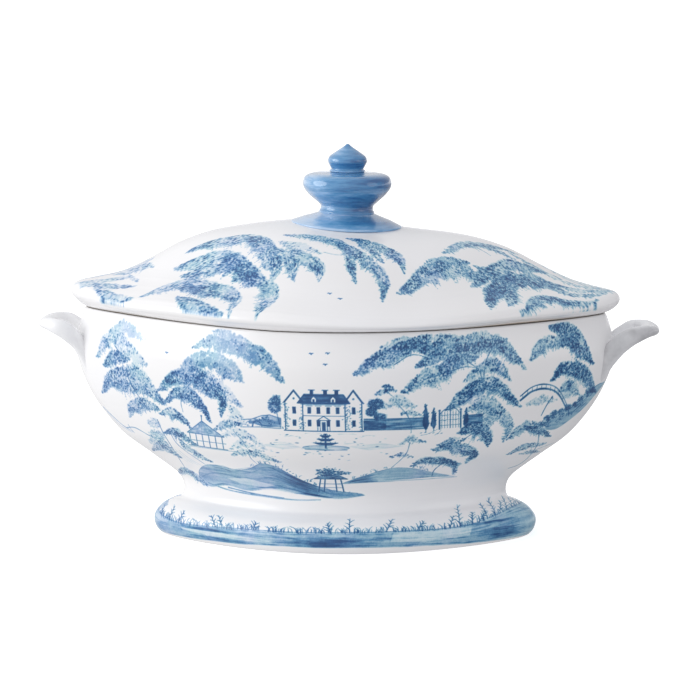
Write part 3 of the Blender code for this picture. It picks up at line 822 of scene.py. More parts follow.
def right_trees(p):
    """The big spreading tree to the right, and the ones beyond it by the right handle."""

    def f(spine, depth, tone, **more):
        p.frond(spine, 1.15 * depth, min(1.0, tone + 0.02), **more)

    f([(30, 143), (44, 148.5), (60, 147)], 5, 0.32)
    f([(13, 125), (25, 137), (40, 143), (58, 143)], 9, 0.74)
    f([(36, 141), (47, 147), (62, 144)], 6, 0.84)
    f([(44, 145), (58, 149.5), (74, 149), (90, 147)], 9, 0.56)
    f([(56, 140), (70, 145), (84, 142)], 7, 0.7)
    f([(54, 129), (64, 137), (82, 145), (104, 146), (122, 143), (140, 122)], 11, 0.62)
    f([(68, 136), (84, 143), (104, 141)], 8, 0.6)
    f([(84, 146), (104, 149.5), (124, 143)], 7, 0.42)
    f([(96, 142), (116, 144), (132, 132)], 8, 0.5)
    f([(45, 112), (58, 125), (74, 130), (94, 137)], 10, 0.50)
    f([(70, 128), (84, 136), (100, 133)], 9, 0.5)
    f([(96, 124), (110, 131), (121, 126), (127, 115)], 8, 0.7)
    f([(89, 117), (97, 124), (108, 120)], 7, 0.32)
    f([(76, 97), (87, 110), (103, 118), (119, 115), (137, 94)], 11, 0.66)
    f([(84, 108), (98, 117), (112, 114)], 9, 0.6)
    f([(92, 95), (101, 104), (112, 104), (121, 95)], 8, 0.34)
    f([(100, 97), (110, 100), (124, 92), (131, 78), (123, 63)], 9, 0.50)
    p.clump((107, 92), 7.5, 0.62, 0.9)
    p.clump((109, 84), 5.5, 0.75, 0.9)
    twig = p.twig
    twig([(40, 131), (52, 137), (64, 134), (70, 131)], 0.5, 0.85)
    twig([(60, 120), (76, 124), (90, 127), (98, 126)], 0.55, 0.85)
    twig([(85, 138), (92, 131), (101, 124), (104, 116)], 0.62, 0.85)
    twig([(110, 136), (106, 128), (105, 116)], 0.62, 0.85)
    twig([(101, 97), (102, 89), (101, 80)], 0.5, 0.7)
    twig([(112, 106), (118, 110), (124, 108)], 0.4, 0.7)
    f([(85, 76), (96, 85), (108, 81), (113, 68), (110, 60)], 12, 0.7)
    f([(66, 62), (81, 68), (96, 62), (102, 51), (93, 40)], 11, 0.66)
    f([(70, 66), (80, 72), (92, 70)], 5, 0.46)
    f([(50, 42), (58, 52), (74, 51), (86, 41), (84, 25)], 8, 0.72)
    f([(60, 47), (74, 50), (88, 40)], 7, 0.55)
    twig([(66, 27), (68, 35), (76, 46)], 0.75, 0.85)
    twig([(86, 66), (92, 71), (99, 76)], 0.6, 0.85)
    # the bridge, and the bank that it springs from
    arch = [(136, 99), (146, 105), (158, 106), (170, 101), (181, 86)]
    twig(arch, 1.3, 0.95)
    twig([(u, v + 3.4) for u, v in arch], 0.75, 0.95)
    for k in range(11):
        u = 137.8 + 4.14 * k
        v = np.interp(u, *zip(*arch))
        twig([(u, v), (u + 0.1, v + 1.7), (u + 0.2, v + 3.4)], 0.5, 0.9)
    f([(140, 96), (156, 101), (170, 96)], 5, 0.14)
    twig([(165, 99), (160, 92), (156, 84)], 0.9, 0.8)
    twig([(177, 92), (182, 86), (184, 80)], 0.8, 0.75)
    f([(143, 128), (150, 139), (163, 142), (178, 136)], 9, 0.62)
    f([(161, 149), (178, 150), (192, 141), (204, 120)], 10, 0.82)
    f([(170, 142), (186, 139), (198, 124)], 9, 0.76)
    f([(163, 112), (170, 122), (184, 123), (198, 117), (212, 97)], 9, 0.86)
    f([(186, 124), (198, 116), (208, 98)], 8, 0.6)
    p.clump((181, 103), 9.0, 0.34, 0.8)
    f([(170, 103), (181, 111), (192, 98)], 8, 0.4)
    p.hill(
        [(162, 80), (172, 86), (186, 88), (200, 98), (212, 103), (224, 104)],
        [(160, 70), (172, 69), (186, 76), (200, 85), (212, 95), (224, 103)],
        0.5,
    )
    for u, v in (
        (158, 79), (163, 83), (169, 86), (175, 88), (182, 89), (189, 92), (195, 96), (201, 100), (207, 104),
    ):
        for _ in range(3):
            p.clump((u + p.chance.normal(0, 1), v - p.chance.random() * 6), 3.0, 1.0, 0.8)
    for centre in ((164, 74), (174, 77), (184, 82), (193, 88)):
        p.clump(centre, 3.4, 1.0, 0.6)
    f([(126, 65), (136, 77), (150, 79), (168, 62)], 7, 0.62)
    f([(140, 76), (154, 74), (166, 66)], 6, 0.56)
    f([(128, 46), (143, 57), (165, 54)], 6, 0.52)
    f([(140, 44), (152, 47), (163, 42)], 4, 0.5)
    twig([(155, 70), (156, 55), (152, 37), (144, 27), (133, 24)], 0.7, 0.8)
    twig([(150, 44), (164, 49), (176, 52)], 0.5, 0.6)


def ground(p):
    """The banks along the bottom, their grasses, and a small arbour."""
    panel = p.panel
    p.hill(
        [
            (-112, 12), (-109, 24), (-100, 33), (-86, 34), (-75, 31), (-62, 36), (-52, 44), (-42, 41),
            (-26, 26), (-8, 14), (16, 9),
        ],
        [(-112, 8), (-100, 6), (-84, 9), (-66, 7), (-48, 10), (-30, 8), (-12, 6), (2, 5), (18, 7.5)],
        0.54,
        [(0.30, 0.90, 0.62), (0.45, 0.88, 0.8), (0.55, 0.86, 0.95)],
    )
    panel.wipe([(-84, 18), (-66, 21), (-44, 15), (-52, 12), (-72, 13)], 0.45)
    panel.wipe([(-60, 9.5), (-40, 12), (-24, 9), (-40, 8)], 0.4)
    p.twig([(-104, 9), (-84, 5.5), (-56, 4), (-30, 3.2), (-12, 4)], 0.75, 0.6)
    p.twig([(-84, 7.5), (-60, 5), (-38, 4)], 0.8, 0.7)
    p.twig([(-100, 34), (-86, 35), (-76, 32), (-62, 37)], 0.5, 0.5)
    for u, v in ((-60, 39), (-54, 44), (-48, 44.5), (-41, 41), (-36, 37), (-27, 29), (-20, 23), (-14, 19)):
        p.grass((u, v), 3.4, 4, 4.0, 0.8)
    for u, v in ((-44, 40), (-34, 34), (-22, 24)):
        panel.dabs([(u, v), (u + 2, v + 1.4), (u + 4, v - 1)], 0.8, 0.55, 0.3, 0.85, 0.6)
    p.hill(
        [(4, 22), (16, 30), (28, 37), (40, 41), (54, 38), (67, 31), (84, 23)],
        [(4, 21), (22, 23), (44, 24), (64, 25), (84, 22.5)],
        0.42,
        [(0.02, 0.36, 0.8), (0.5, 0.9, 0.5)],
    )
    p.twig([(0, 20.6), (16, 22), (44, 23), (86, 22)], 0.6, 0.62)
    for u, v in ((12, 28), (17, 31), (24, 36), (33, 41), (52, 40), (57, 38), (62, 35)):
        p.grass((u, v), 3.2, 4, 3.6, 0.75)
    # the arbour
    line = panel.straight
    for low, high in ((-13.0, -11.2), (-9.2, -8.2), (-0.8, -1.4), (3.8, 2.2)):
        line([(low, 11), (high, 27)], 0.62, 0.95)
    for level, strength in ((15.5, 0.7), (20.5, 0.8), (27.0, 1.0)):
        line([(-12.4, level), (3.2, level)], 0.5, strength)
    panel.fill([(-15, 27.4), (-9.5, 32.6), (0.5, 32.6), (6, 27.4)], 0.7, 0.2, (3, 1), 3)
    line([(-15.6, 27.2), (6.6, 27.2)], 0.75, 1.0)
    line([(-15.6, 27.4), (-9.5, 32.8), (0.5, 32.8), (6.6, 27.4)], 0.5, 0.95)
    rng = p.chance
    for _ in range(220):
        turn = rng.uniform(0, math.tau)
        out = math.sqrt(rng.random()) * (1.0 + 0.25 * math.cos(3 * turn))
        spot = (-4.6 + 11.0 * out * math.cos(turn), 35.4 + 4.4 * out * math.sin(turn))
        panel.dabs([spot], 1.1, 0.7, turn, rng.uniform(0.7, 1.0), 0.7)
    for _ in range(30):
        spot = (-4.6 + rng.normal(0, 3.0), 40.0 + rng.normal(0, 1.2))
        panel.dabs([spot], 0.8, 0.6, 0.8, rng.uniform(0.6, 1.0), 0.7)
    p.grass((-4, 11), 3.2, 10, 9.0, 0.85)
    p.grass((8, 9), 2.2, 6, 8.0, 0.6)


def country_back(p):
    """The back of the bowl has a cottage, a haystack and a rail fence in the house's place."""
    panel = p.panel
    line = panel.straight
    panel.wipe(quad(-26, 80, 18, 108))
    panel.fill([(-24, 95), (-20, 106), (12, 106), (17, 95)], 0.55, 0.16, (4, 0.9), 14)
    line([(-24, 95), (-20, 106), (12, 106), (17, 95), (-24, 95)], 0.5, 0.9)
    line([(-21, 95), (-21, 82), (14, 82), (14, 95)], 0.5, 0.9)
    for u in (-15.5, -7.5, 7.5):
        p.window_pane(u, 87, 3.4, 4.6)
    p.window_pane(0.4, 82.2, 3.2, 8.6, 0.9)
    for u in (-17, 8):
        panel.fill(quad(u - 1.5, 105.6, u + 1.5, 110.4), 0.75, 0.05, (2, 2), 2)
    for u in np.arange(20, 62, 5.5):
        line([(u, 82), (u, 89)], 0.5, 0.8)
    line([(19, 87.4), (62, 87.0)], 0.42, 0.75)
    line([(19, 84.4), (62, 84.2)], 0.42, 0.75)
    for u in np.arange(-62, -26, 5.5):
        line([(u, 82.6), (u, 89.4)], 0.5, 0.8)
    line([(-64, 87.6), (-26, 87.6)], 0.42, 0.75)
    p.clump((-37, 96), 6.4, 0.7, 1.1)
    p.twig([(-37, 90), (-36.6, 86), (-36, 82)], 0.55, 0.85)
    stack = [(26, 64), (28, 71), (33, 75), (39, 72), (42, 64)]
    panel.fill(stack, 0.4, 0.3, (1.2, 5), 15)
    p.twig(stack, 0.5, 0.75)
    line([(22, 63.6), (46, 63.4)], 0.5, 0.7)
    for u in (-22, -6, 8):
        p.grass((u, 66), 3.0, 5, 6.0, 0.6)
    for start, end, v in ((-40, -24, 76), (-12, 4, 78), (14, 26, 77), (-30, -14, 70)):
        p.twig([(start, v), ((start + end) / 2, v + 0.6), (end, v)], 0.34, 0.35)
    p.frond([(36, 100), (46, 108), (58, 100)], 7, 0.4)
    p.twig([(47, 103), (49, 93), (50, 83)], 0.55, 0.8)


def paint_bowl(back):
    """The landscape on the bowl's front, or the plainer one on its back."""
    panel = Panel((-232, -2), (232, 156), mirror=back)
    p = Painter(panel, 41 if back else 17)
    ground(p)
    if back:
        country_back(p)
    else:
        garden(p)
        country_house(p)
        pavilion(p)
    left_trees(p)
    right_trees(p)
    for spot in ((-15, 138), (-4, 138.4), (-5.6, 131), (-126, 131)):
        p.bird(spot)
    return panel


# ---------------------------------------------------------------- the lid, seen from above
def paint_lid():
    """The same trees on the front and, turned half round, on the back."""
    panel = Panel((-190, -137), (190, 137))
    for turn, seed in ((False, 5), (True, 29)):
        panel.turn = turn
        p = Painter(panel, seed)
        f = p.frond

        def g(spine, depth, tone, teeth=1.0):
            f(spine, depth, 0.9 * tone, side=-1, teeth=teeth, combed=True)

        # the tip of the left side
        g([(-183, -8), (-168, -14), (-150, -19), (-142, -26), (-138, -37)], 6, 0.2, teeth=0.0)
        g([(-180, -11), (-164, -23), (-150, -34), (-138, -44)], 8, 0.34, teeth=0.0)
        g([(-166, -32), (-156, -41), (-146, -53), (-138, -62)], 8, 0.42, teeth=0.0)
        g([(-157, -7), (-146, -9), (-134, -14), (-128, -26)], 8, 0.36)
        g([(-148, -5), (-138, -7), (-128, -9)], 5, 0.16)
        # the upper branch, and its three drooping ends
        g([(-105, -32), (-90, -32), (-75, -34), (-62, -38), (-52, -46), (-45, -57), (-42, -70)], 12, 0.52)
        g([(-65, -39), (-53, -47), (-45, -59), (-40, -72), (-38, -84), (-43, -95)], 13, 0.62)
        g([(-43, -63), (-33, -72), (-27, -82), (-28, -96)], 10, 0.5)
        g([(-35, -66), (-23, -72), (-13, -79), (-9, -88), (-12, -97)], 10, 0.55)
        f([(-41, -57), (-25, -62), (-11, -73)], 8, 0.1, side=-1, pale=0.8)
        # the middle branch
        g([(-112, -43), (-97, -45), (-83, -49), (-71, -56), (-63, -66)], 11, 0.5)
        g([(-107, -55), (-91, -57), (-77, -64), (-67, -72)], 9, 0.62)
        g([(-79, -54), (-67, -61), (-59, -72), (-51, -84), (-45, -97)], 14, 0.8)
        g([(-67, -65), (-58, -77), (-50, -90)], 9, 1.0)
        g([(-53, -88), (-42, -95), (-38, -104), (-41, -114), (-52, -125)], 13, 0.34)
        # the lower branch
        g([(-133, -63), (-117, -60), (-103, -62), (-91, -68)], 8, 0.34)
        drooping = [(-119, -66), (-103, -65), (-89, -72), (-78, -81), (-68, -91), (-63, -104), (-70, -116)]
        g(drooping, 12, 0.58)
        g([(-107, -70), (-93, -75), (-83, -84), (-75, -95)], 10, 0.85)
        g([(-107, -82), (-96, -90), (-87, -100), (-75, -113)], 9, 0.74)
        f([(-38, -47), (-18, -48), (0, -55), (9, -70), (13, -97)], 9, 0.56, side=-1)
        f([(-6, -56), (10, -64), (26, -78), (34, -90), (31, -108)], 10, 0.72, side=-1)
        f([(4, -50), (16, -50), (32, -58), (42, -66), (44, -79)], 9, 0.74, side=-1)
        f([(12, -56), (24, -64), (30, -76)], 6, 0.5, side=-1)
        p.twig([(-46, -76), (-52, -78), (-58, -80)], 0.5, 0.4)
        p.twig([(-10, -72), (-2, -74), (8, -73)], 0.45, 0.45)
        f([(40, -98), (46, -86), (53, -73), (61, -61), (72, -53), (86, -50)], 11, 0.66, side=-1)
        f([(54, -72), (66, -60), (80, -56), (92, -60)], 13, 0.36, side=-1)
        f([(76, -52), (88, -54), (94, -66)], 8, 0.4, side=-1)
        f([(68, -50), (74, -36), (84, -21), (100, -12), (118, -8)], 8, 0.5, side=-1)
        f([(88, -70), (92, -54), (102, -40), (114, -24), (138, -13)], 10, 0.6, side=-1)
        f([(98, -82), (100, -62), (109, -46), (124, -34), (146, -30)], 14, 0.8, side=-1)
        f([(100, -74), (108, -58), (118, -50)], 12, 0.7, side=-1)
        f([(106, -54), (98, -64), (97, -77), (101, -90)], 11, 0.56, side=1)
        f([(116, -56), (111, -67), (113, -80)], 9, 0.36, side=1)
        f([(118, -30), (134, -26), (152, -32)], 8, 0.5, side=-1)
        f([(84, -24), (98, -18), (116, -20)], 6, 0.4, side=-1)
        g([(90, -50), (110, -40), (132, -28), (150, -24)], 9, 0.62)
        f([(124, -78), (127, -62), (135, -51), (146, -46), (160, -44)], 9, 0.62, side=-1)
        g([(120, -34), (140, -26), (160, -20), (180, -8)], 6, 0.36)
        g([(112, -14), (136, -12), (158, -12), (178, -2)], 5, 0.26)
        g([(136, -36), (152, -33), (166, -24), (178, -12)], 5, 0.44, teeth=0.3)
        g([(150, -46), (162, -38), (172, -28)], 4, 0.45, teeth=0.2)
        g([(158, -14), (170, -10), (183, -3)], 4, 0.3)
        for height, strength in ((8, 0.16), (3, 0.3), (-2, 0.2)):
            faint = [(132, height), (150, height - 2), (168, height - 4), (182, height - 7)]
            g(faint, 4, strength, teeth=0.4)
        p.clump((101, -68), 5, 0.9)
        p.clump((125, -80), 4.5, 0.5)
        p.twig([(82, -62), (92, -54), (104, -50), (110, -46)], 0.5, 0.7)
        p.twig([(88, -22), (92, -28), (100, -32)], 0.5, 0.7)
        p.twig([(124, -18), (128, -28), (134, -38)], 0.5, 0.7)
        p.bird((-4, -108))
        p.bird((3, -112))
    return panel


# ---------------------------------------------------------------- the foot, measured down from its neck
def paint_foot(back):
    """A band of water with grasses and ferns along its bank."""
    panel = Panel((-178, -2), (178, 47), mirror=back)
    p = Painter(panel, 83 if back else 61)
    top = [
        (-178, 19), (-168, 23), (-152, 27), (-138, 29), (-120, 30), (-100, 29), (-70, 27.5), (-40, 27),
        (0, 26), (40, 26), (70, 26.5), (92, 26), (108, 24), (124, 19.5), (140, 15.5), (156, 14.5),
        (168, 16.5), (178, 19),
    ]
    low = [
        (-178, 41.5), (-140, 40.6), (-100, 39.6), (-50, 37.4), (0, 36.6), (50, 37.4), (100, 39.6),
        (140, 40.8), (178, 41.5),
    ]
    p.hill(top, low, 0.46)
    panel.wipe([(-128, 31), (-96, 31.5), (-60, 33), (-40, 34), (-60, 35.4), (-100, 35), (-124, 34)], 0.45)
    panel.wipe([(38, 27), (98, 28), (96, 33), (60, 34.6), (36, 33)], 0.5)
    rng = p.chance
    # the darker water
    for start, end, high, deep, strength in (
        (-52, 44, 31.0, 5.4, 0.86), (-40, 26, 31.6, 4.4, 0.95), (-136, -46, 36.0, 2.6, 0.72),
        (84, 164, 31.0, 7.0, 0.80), (98, 150, 30.5, 6.0, 0.9), (-140, -60, 30.4, 1.6, 0.82),
        (82, 150, 25.0, 1.6, 0.78), (-170, -130, 32.0, 6.0, 0.6),
    ):
        for share in np.linspace(0, 1, 9):
            pull = (end - start) * (0.05 + 0.22 * abs(share - 0.45)) * (0.6 + 0.9 * rng.random())
            left = start + pull * (0.4 + rng.random())
            right = end - pull * (0.4 + rng.random())
            level = high + deep * share
            path = evenly([(left, level + 0.5), ((left + right) / 2, level), (right, level - 0.3)], 0.5)
            t = np.linspace(0, 1, len(path))
            shape = np.clip(np.sin(math.pi * t) ** 0.5, 0.1, 1)
            streak = 0.72 + 0.5 * value_noise(path[:, 0] / 7, path[:, 1] * 1.3, 71)
            panel.dabs(path, 1.9, (0.45 + 0.5 * deep / 9) * shape, 0.0, strength * shape * streak, 0.9)
    for u in np.arange(-160, 160, 5.2):
        base = np.interp(u, *zip(*top))
        p.grass((u + p.chance.normal(0, 1.5), base + 0.3), 3.8, 6, 4.5, 1.0, -1.0)
    for root, tip, leaves in (
        ((-92, 28), (-97, 20), 5), ((-86, 28), (-90, 19), 5), ((-4, 27), (-7, 18), 6), ((8, 26), (8, 12), 5),
        ((33, 26), (37, 14), 6), ((55, 26), (60, 19), 5), ((80, 27), (83, 16), 6), ((88, 27), (87, 4), 8),
        ((98, 26), (99, 14), 7), ((104, 25), (112, 15), 7), ((112, 23), (108, 5), 7),
        ((120, 21), (116, 2), 8), ((124, 20), (129, 6), 7), ((132, 18), (134, 4), 7),
        ((138, 16), (143, 5), 6), ((146, 15), (150, 6), 6), ((-150, 29), (-153, 18), 6),
        ((-140, 29), (-137, 18), 5), ((-128, 29), (-124, 20), 5), ((-60, 28), (-58, 21), 5),
    ):
        p.fern(root, tip, leaves, 3.6, 1.0)
    return panel


# ---------------------------------------------------------------- colours and materials
GLAZE = "f2f2f4"
INK_LEVELS = (0.0, 0.09, 0.27, 0.52, 0.80, 1.0)
TEAL_INK = tuple(zip(INK_LEVELS, (GLAZE, "dbe8ed", "a2c7d8", "5690b9", "22588c", "174577")))
VIOLET_INK = tuple(zip(INK_LEVELS, (GLAZE, "dfe3f0", "b4c4e1", "6c96c7", "3369a6", "1f4f8a")))
COBALT = ((0.34, "275f98"), (0.44, "3f80b5"), (0.53, "5894c4"), (0.62, "80add7"), (0.72, "a8c6e5"))
WHITE = ((0.25, "edeef1"), (0.75, "f5f5f6"))
WARMTH = ((0.3, "fbfaf8"), (0.7, "ffffff"))
CLAY = ((0.3, "cdb9a2"), (0.7, "e6dacb"))
# the painted shadow grey of the seam between lid and bowl
SEAM_SHADE_GREY = "4c4a49"
# the painted shade grey on a handle's inner face
INNER_FACE_SHADE_GREY = "b4b4b7"


def linear(text):
    """A linear RGBA colour from its hex text."""
    parts = [int(text[i : i + 2], 16) / 255 for i in (0, 2, 4)]
    return [c / 12.92 if c <= 0.04045 else ((c + 0.055) / 1.055) ** 2.4 for c in parts] + [1.0]


class Nodes:
    """A tree of shader nodes that are made one call at a time. A value is a number, a colour or a socket."""

    def __init__(self, tree):
        self.tree = tree

    def feed(self, socket, value):
        if isinstance(value, bpy.types.NodeSocket):
            self.tree.links.new(value, socket)
        else:
            socket.default_value = value

    def node(self, kind, settings=None, **inputs):
        made = self.tree.nodes.new(kind)
        for key, value in (settings or {}).items():
            setattr(made, key, value)
        for key, value in inputs.items():
            self.feed(made.inputs[key], value)
        return made

    def math(self, operation, *values, clamp=False):
        made = self.node("ShaderNodeMath", {"operation": operation, "use_clamp": clamp})
        for socket, value in zip(made.inputs, values):
            self.feed(socket, value)
        return made.outputs[0]

    def mix(self, factor, a, b, blend="MIX"):
        made = self.node("ShaderNodeMix", {"data_type": "RGBA", "blend_type": blend})
        for index, value in ((0, factor), (6, a), (7, b)):
            self.feed(made.inputs[index], value)
        return made.outputs[2]


class Shader(Nodes):
    """A material."""

    def __init__(self, name):
        self.material = bpy.data.materials.new(name)
        self.material.use_nodes = True
        super().__init__(self.material.node_tree)
        self.out = self.tree.nodes["Principled BSDF"]

    def field(self, name):
        """A number that the mesh carries at each vertex."""
        return self.node("ShaderNodeAttribute", {"attribute_name": name}).outputs["Fac"]

    def place(self):
        return self.node("ShaderNodeTexCoord").outputs["Object"]

    def falling(self, value, slope):
        """The value less slope for each metre to the right."""
        x = self.node("ShaderNodeSeparateXYZ", Vector=self.place()).outputs[0]
        return self.math("SUBTRACT", value, self.math("MULTIPLY", x, slope))

    def ramp(self, value, stops):
        made = self.node("ShaderNodeValToRGB", Fac=value)
        ramp = made.color_ramp
        while len(ramp.elements) < len(stops):
            ramp.elements.new(0.5)
        for element, (place, colour) in zip(ramp.elements, stops):
            element.position = place
            element.color = linear(colour)
        return made.outputs["Color"]

    def noise(self, scale, detail=3.0, rough=0.5, stretch=None):
        where = self.place()
        if stretch:
            where = self.node("ShaderNodeMapping", Vector=where, Scale=stretch).outputs[0]
        sizes = {"Scale": scale, "Detail": detail, "Roughness": rough}
        return self.node("ShaderNodeTexNoise", Vector=where, **sizes).outputs["Fac"]

    def gloss(self, scale):
        """The roughness of a fired glaze."""
        return self.math("ADD", 0.16, self.math("MULTIPLY", self.noise(scale, 2.0, 0.5), 0.08))

    def relief(self):
        """The slow swell of a poured glaze, with a fine orange peel on it."""
        peel = self.math("MULTIPLY", self.noise(420.0, 2.0, 0.5), 0.035)
        return self.math("ADD", self.noise(34.0, 2.0, 0.4), peel)

    def finish(self, colour, roughness, bump=None, strength=0.1, distance=0.001):
        self.feed(self.out.inputs["Base Color"], colour)
        self.feed(self.out.inputs["Roughness"], roughness)
        self.out.inputs["IOR"].default_value = 1.52
        if bump is not None:
            made = self.node("ShaderNodeBump", Height=bump, Strength=strength, Distance=distance)
            self.feed(self.out.inputs["Normal"], made.outputs[0])
        return self.material


def painted_glaze(name):
    """White glaze with the painting on it, which is violet in places and more so to the left. The field clay
    is 1 where the clay is bare, and more where the seam between lid and bowl is painted dark as its shade."""
    s = Shader(name)
    ink = s.field("ink")
    # the ink pools and breaks up, above all in its middle tones
    grain = s.math("MULTIPLY", s.math("SUBTRACT", s.noise(900.0, 3.0, 0.6), 0.5), 0.38)
    pool = s.math("MULTIPLY", s.math("SUBTRACT", s.noise(210.0, 2.0, 0.5), 0.5), 0.32)
    middle = s.math("MULTIPLY", ink, s.math("SUBTRACT", 1.25, ink))
    uneven = s.math("MULTIPLY", s.math("ADD", grain, pool), s.math("MULTIPLY", middle, 2.2))
    level = s.math("ADD", ink, uneven, clamp=True)
    drift = s.falling(s.noise(48.0, 2.0, 0.5), 1.1)
    violet = s.ramp(drift, ((0.44, "000000"), (0.72, "d8d8d8")))
    colour = s.mix(violet, s.ramp(level, TEAL_INK), s.ramp(level, VIOLET_INK))
    colour = s.mix(1.0, colour, s.ramp(s.noise(9.0, 2.0, 0.5), WARMTH), "MULTIPLY")
    clay = s.field("clay")
    # painted shade in the seam: where clay is over 1, the colour goes towards the seam's shadow grey
    painted_seam_shade = s.math("SUBTRACT", clay, 1.0, clamp=True)
    clay = s.math("MINIMUM", clay, 1.0)
    body = s.ramp(s.noise(700.0, 4.0, 0.65), CLAY)
    colour = s.mix(painted_seam_shade, s.mix(clay, colour, body), linear(SEAM_SHADE_GREY))
    gloss = s.math("ADD", s.gloss(60.0), s.math("MULTIPLY", clay, 0.6), clamp=True)
    return s.finish(colour, gloss, s.relief(), 0.16, 0.0016)


def white_glaze(name):
    """White glaze, greyed in patches by painted shade where the field pool says so, on a handle's inner
    face.
    """
    s = Shader(name)
    patchy = s.math("MULTIPLY", s.noise(55.0, 3.0, 0.6), 0.9)
    # painted shade on a handle's inner face, broken into patches
    painted_inner_shade = s.math("MULTIPLY", s.field("pool"), patchy, clamp=True)
    colour = s.mix(painted_inner_shade, s.ramp(s.noise(40.0, 3.0, 0.5), WHITE), linear(INNER_FACE_SHADE_GREY))
    return s.finish(colour, s.gloss(70.0), s.relief(), 0.2, 0.0016)


def cobalt_glaze(name):
    """Blue glaze with level brush strokes, paler where the field thin says so, and darker to the right as
    painted shade.
    """
    s = Shader(name)
    strokes = s.math("MULTIPLY", s.noise(24.0, 5.0, 0.66, (1.0, 1.0, 8.0)), 0.70)
    fine = s.math("MULTIPLY", s.noise(85.0, 3.0, 0.6, (1.0, 1.0, 8.0)), 0.30)
    thin = s.math("MULTIPLY", s.field("thin"), 0.11)
    # painted shade: the blue darkens towards the right, away from the light
    level = s.falling(s.math("ADD", s.math("ADD", strokes, fine), thin), 5.0)
    made = s.finish(s.ramp(level, COBALT), 0.22, level, 0.10, 0.0010)
    s.out.inputs["Coat Weight"].default_value = 1.0
    s.out.inputs["Coat Roughness"].default_value = 0.06
    return made


# ---------------------------------------------------------------- the pieces
def two_sided(paint, rings, down):
    """The painting at each point: paint makes the front panel and the back one, which lie along the rings
    from the middle of the front or of the back, and down is how far each point lies along the outline."""
    along, whole = around(rings)
    front = paint(False).read(np.where(along > whole / 2, along - whole, along), down)
    return np.maximum(front, paint(True).read(whole / 2 - along, down))


def tight_start(rings):
    """The rings with one more just past the first, which keeps the edge there crisp."""
    return np.concatenate([rings[:1], rings[:1] * 0.9 + rings[1:2] * 0.1, rings[1:]])


def spread(values, columns):
    """One value to each ring, for all its points."""
    return np.broadcast_to(np.reshape(values, (-1, 1)), (len(values), columns))


def make_bowl(material):
    t = angles(FINE, BOWL_REACH, PINCH)
    outside = evenly(BOWL_OUTSIDE, FINE)
    rings = ovals(outside, body_pinch, t)
    rim = evenly([BOWL_OUTSIDE[-1], *BOWL_RIM, BOWL_INSIDE[0]], 0.7)[1:-1]
    edge = ovals(rim, lambda z: PINCH + 0 * z, t, 4.0)
    hollow = ovals(evenly(BOWL_INSIDE, COARSE), body_pinch, t, WALL)
    height = spread(run_length(outside), len(t))
    ink = two_sided(paint_bowl, rings, height) * np.clip((RIM_RUN - height) / 1.2, 0, 1)
    root = rings[:1] * np.array([0.99, 0.99, 1.0])
    rings = np.concatenate([root, tight_start(rings)])
    # the rim is bare clay; towards its outer edge, under the seam, it is also darkened as painted shade
    clay = spread(np.linspace(1.5, 1.0, len(edge)), len(t))
    glazed, plain = np.zeros(rings.shape[:2]), np.zeros(hollow.shape[:2])
    values = {
        "ink": np.concatenate([ink[:1], ink[:1], ink, 0 * clay, plain]),
        "clay": np.concatenate([glazed, clay, plain]),
    }
    rings = np.concatenate([rings, edge, hollow])
    rings[..., 2] += warp(rings[..., 0]) * np.clip((rings[..., 2] - 100.0) / 50.0, 0, 1)
    return loft("bowl_glazed", material, rings, values, first=(0, 0, NECK), last=(0, 0, BOWL_INSIDE[-1][1]))


def make_foot(material):
    t = angles(FINE, FOOT_REACH, FOOT_PINCH)
    outside = evenly(FOOT_OUTSIDE, FINE)
    rings = ovals(outside, foot_pinch, t)
    hollow = ovals(evenly(FOOT_INSIDE, 1.6), foot_pinch, t, WALL)
    down = spread(run_length(outside), len(t))
    ink = two_sided(paint_foot, rings, down)
    x, y = rings[..., 0], rings[..., 1]
    wobble = 0.5 * np.sin(x * 0.11 + y * 0.17) + 0.25 * np.sin(x * 0.37 - y * 0.29)
    clay = np.clip((down - CLAY_RUN - wobble) / 0.6, 0, 1)
    under = np.clip(6.0 - hollow[..., 2], 0, 1)
    values = {
        "ink": np.concatenate([ink[:1], ink, 0 * under]),
        "clay": np.concatenate([clay[:1], clay, under]),
    }
    return loft("foot_glazed", material, np.concatenate([tight_start(rings), hollow]), values, loop=True)


def warp(x):
    """How far the bowl's rim stands above its even level: a little, towards the left handle."""
    return np.interp(x, [-180.0, -150.0, -95.0, -40.0], [2.6, 2.4, 1.3, 0.0])


def lean(x, z):
    """How far the lid and its knob stand above their even shape: they are higher to the left of the knob."""
    curve = flow(LEAN, 12)
    share = np.clip((z - LID_FOOT) / np.interp(x, [-185.0, -140.0], [4.0, 9.0]), 0, 1)
    return np.interp(x, curve[:, 0], curve[:, 1]) * share + warp(x) * (1 - share)


def swell(x, middle, width):
    """A smooth rise from 0 to 1 and back, about its middle."""
    return np.exp(-(((x - middle) / width) ** 2))


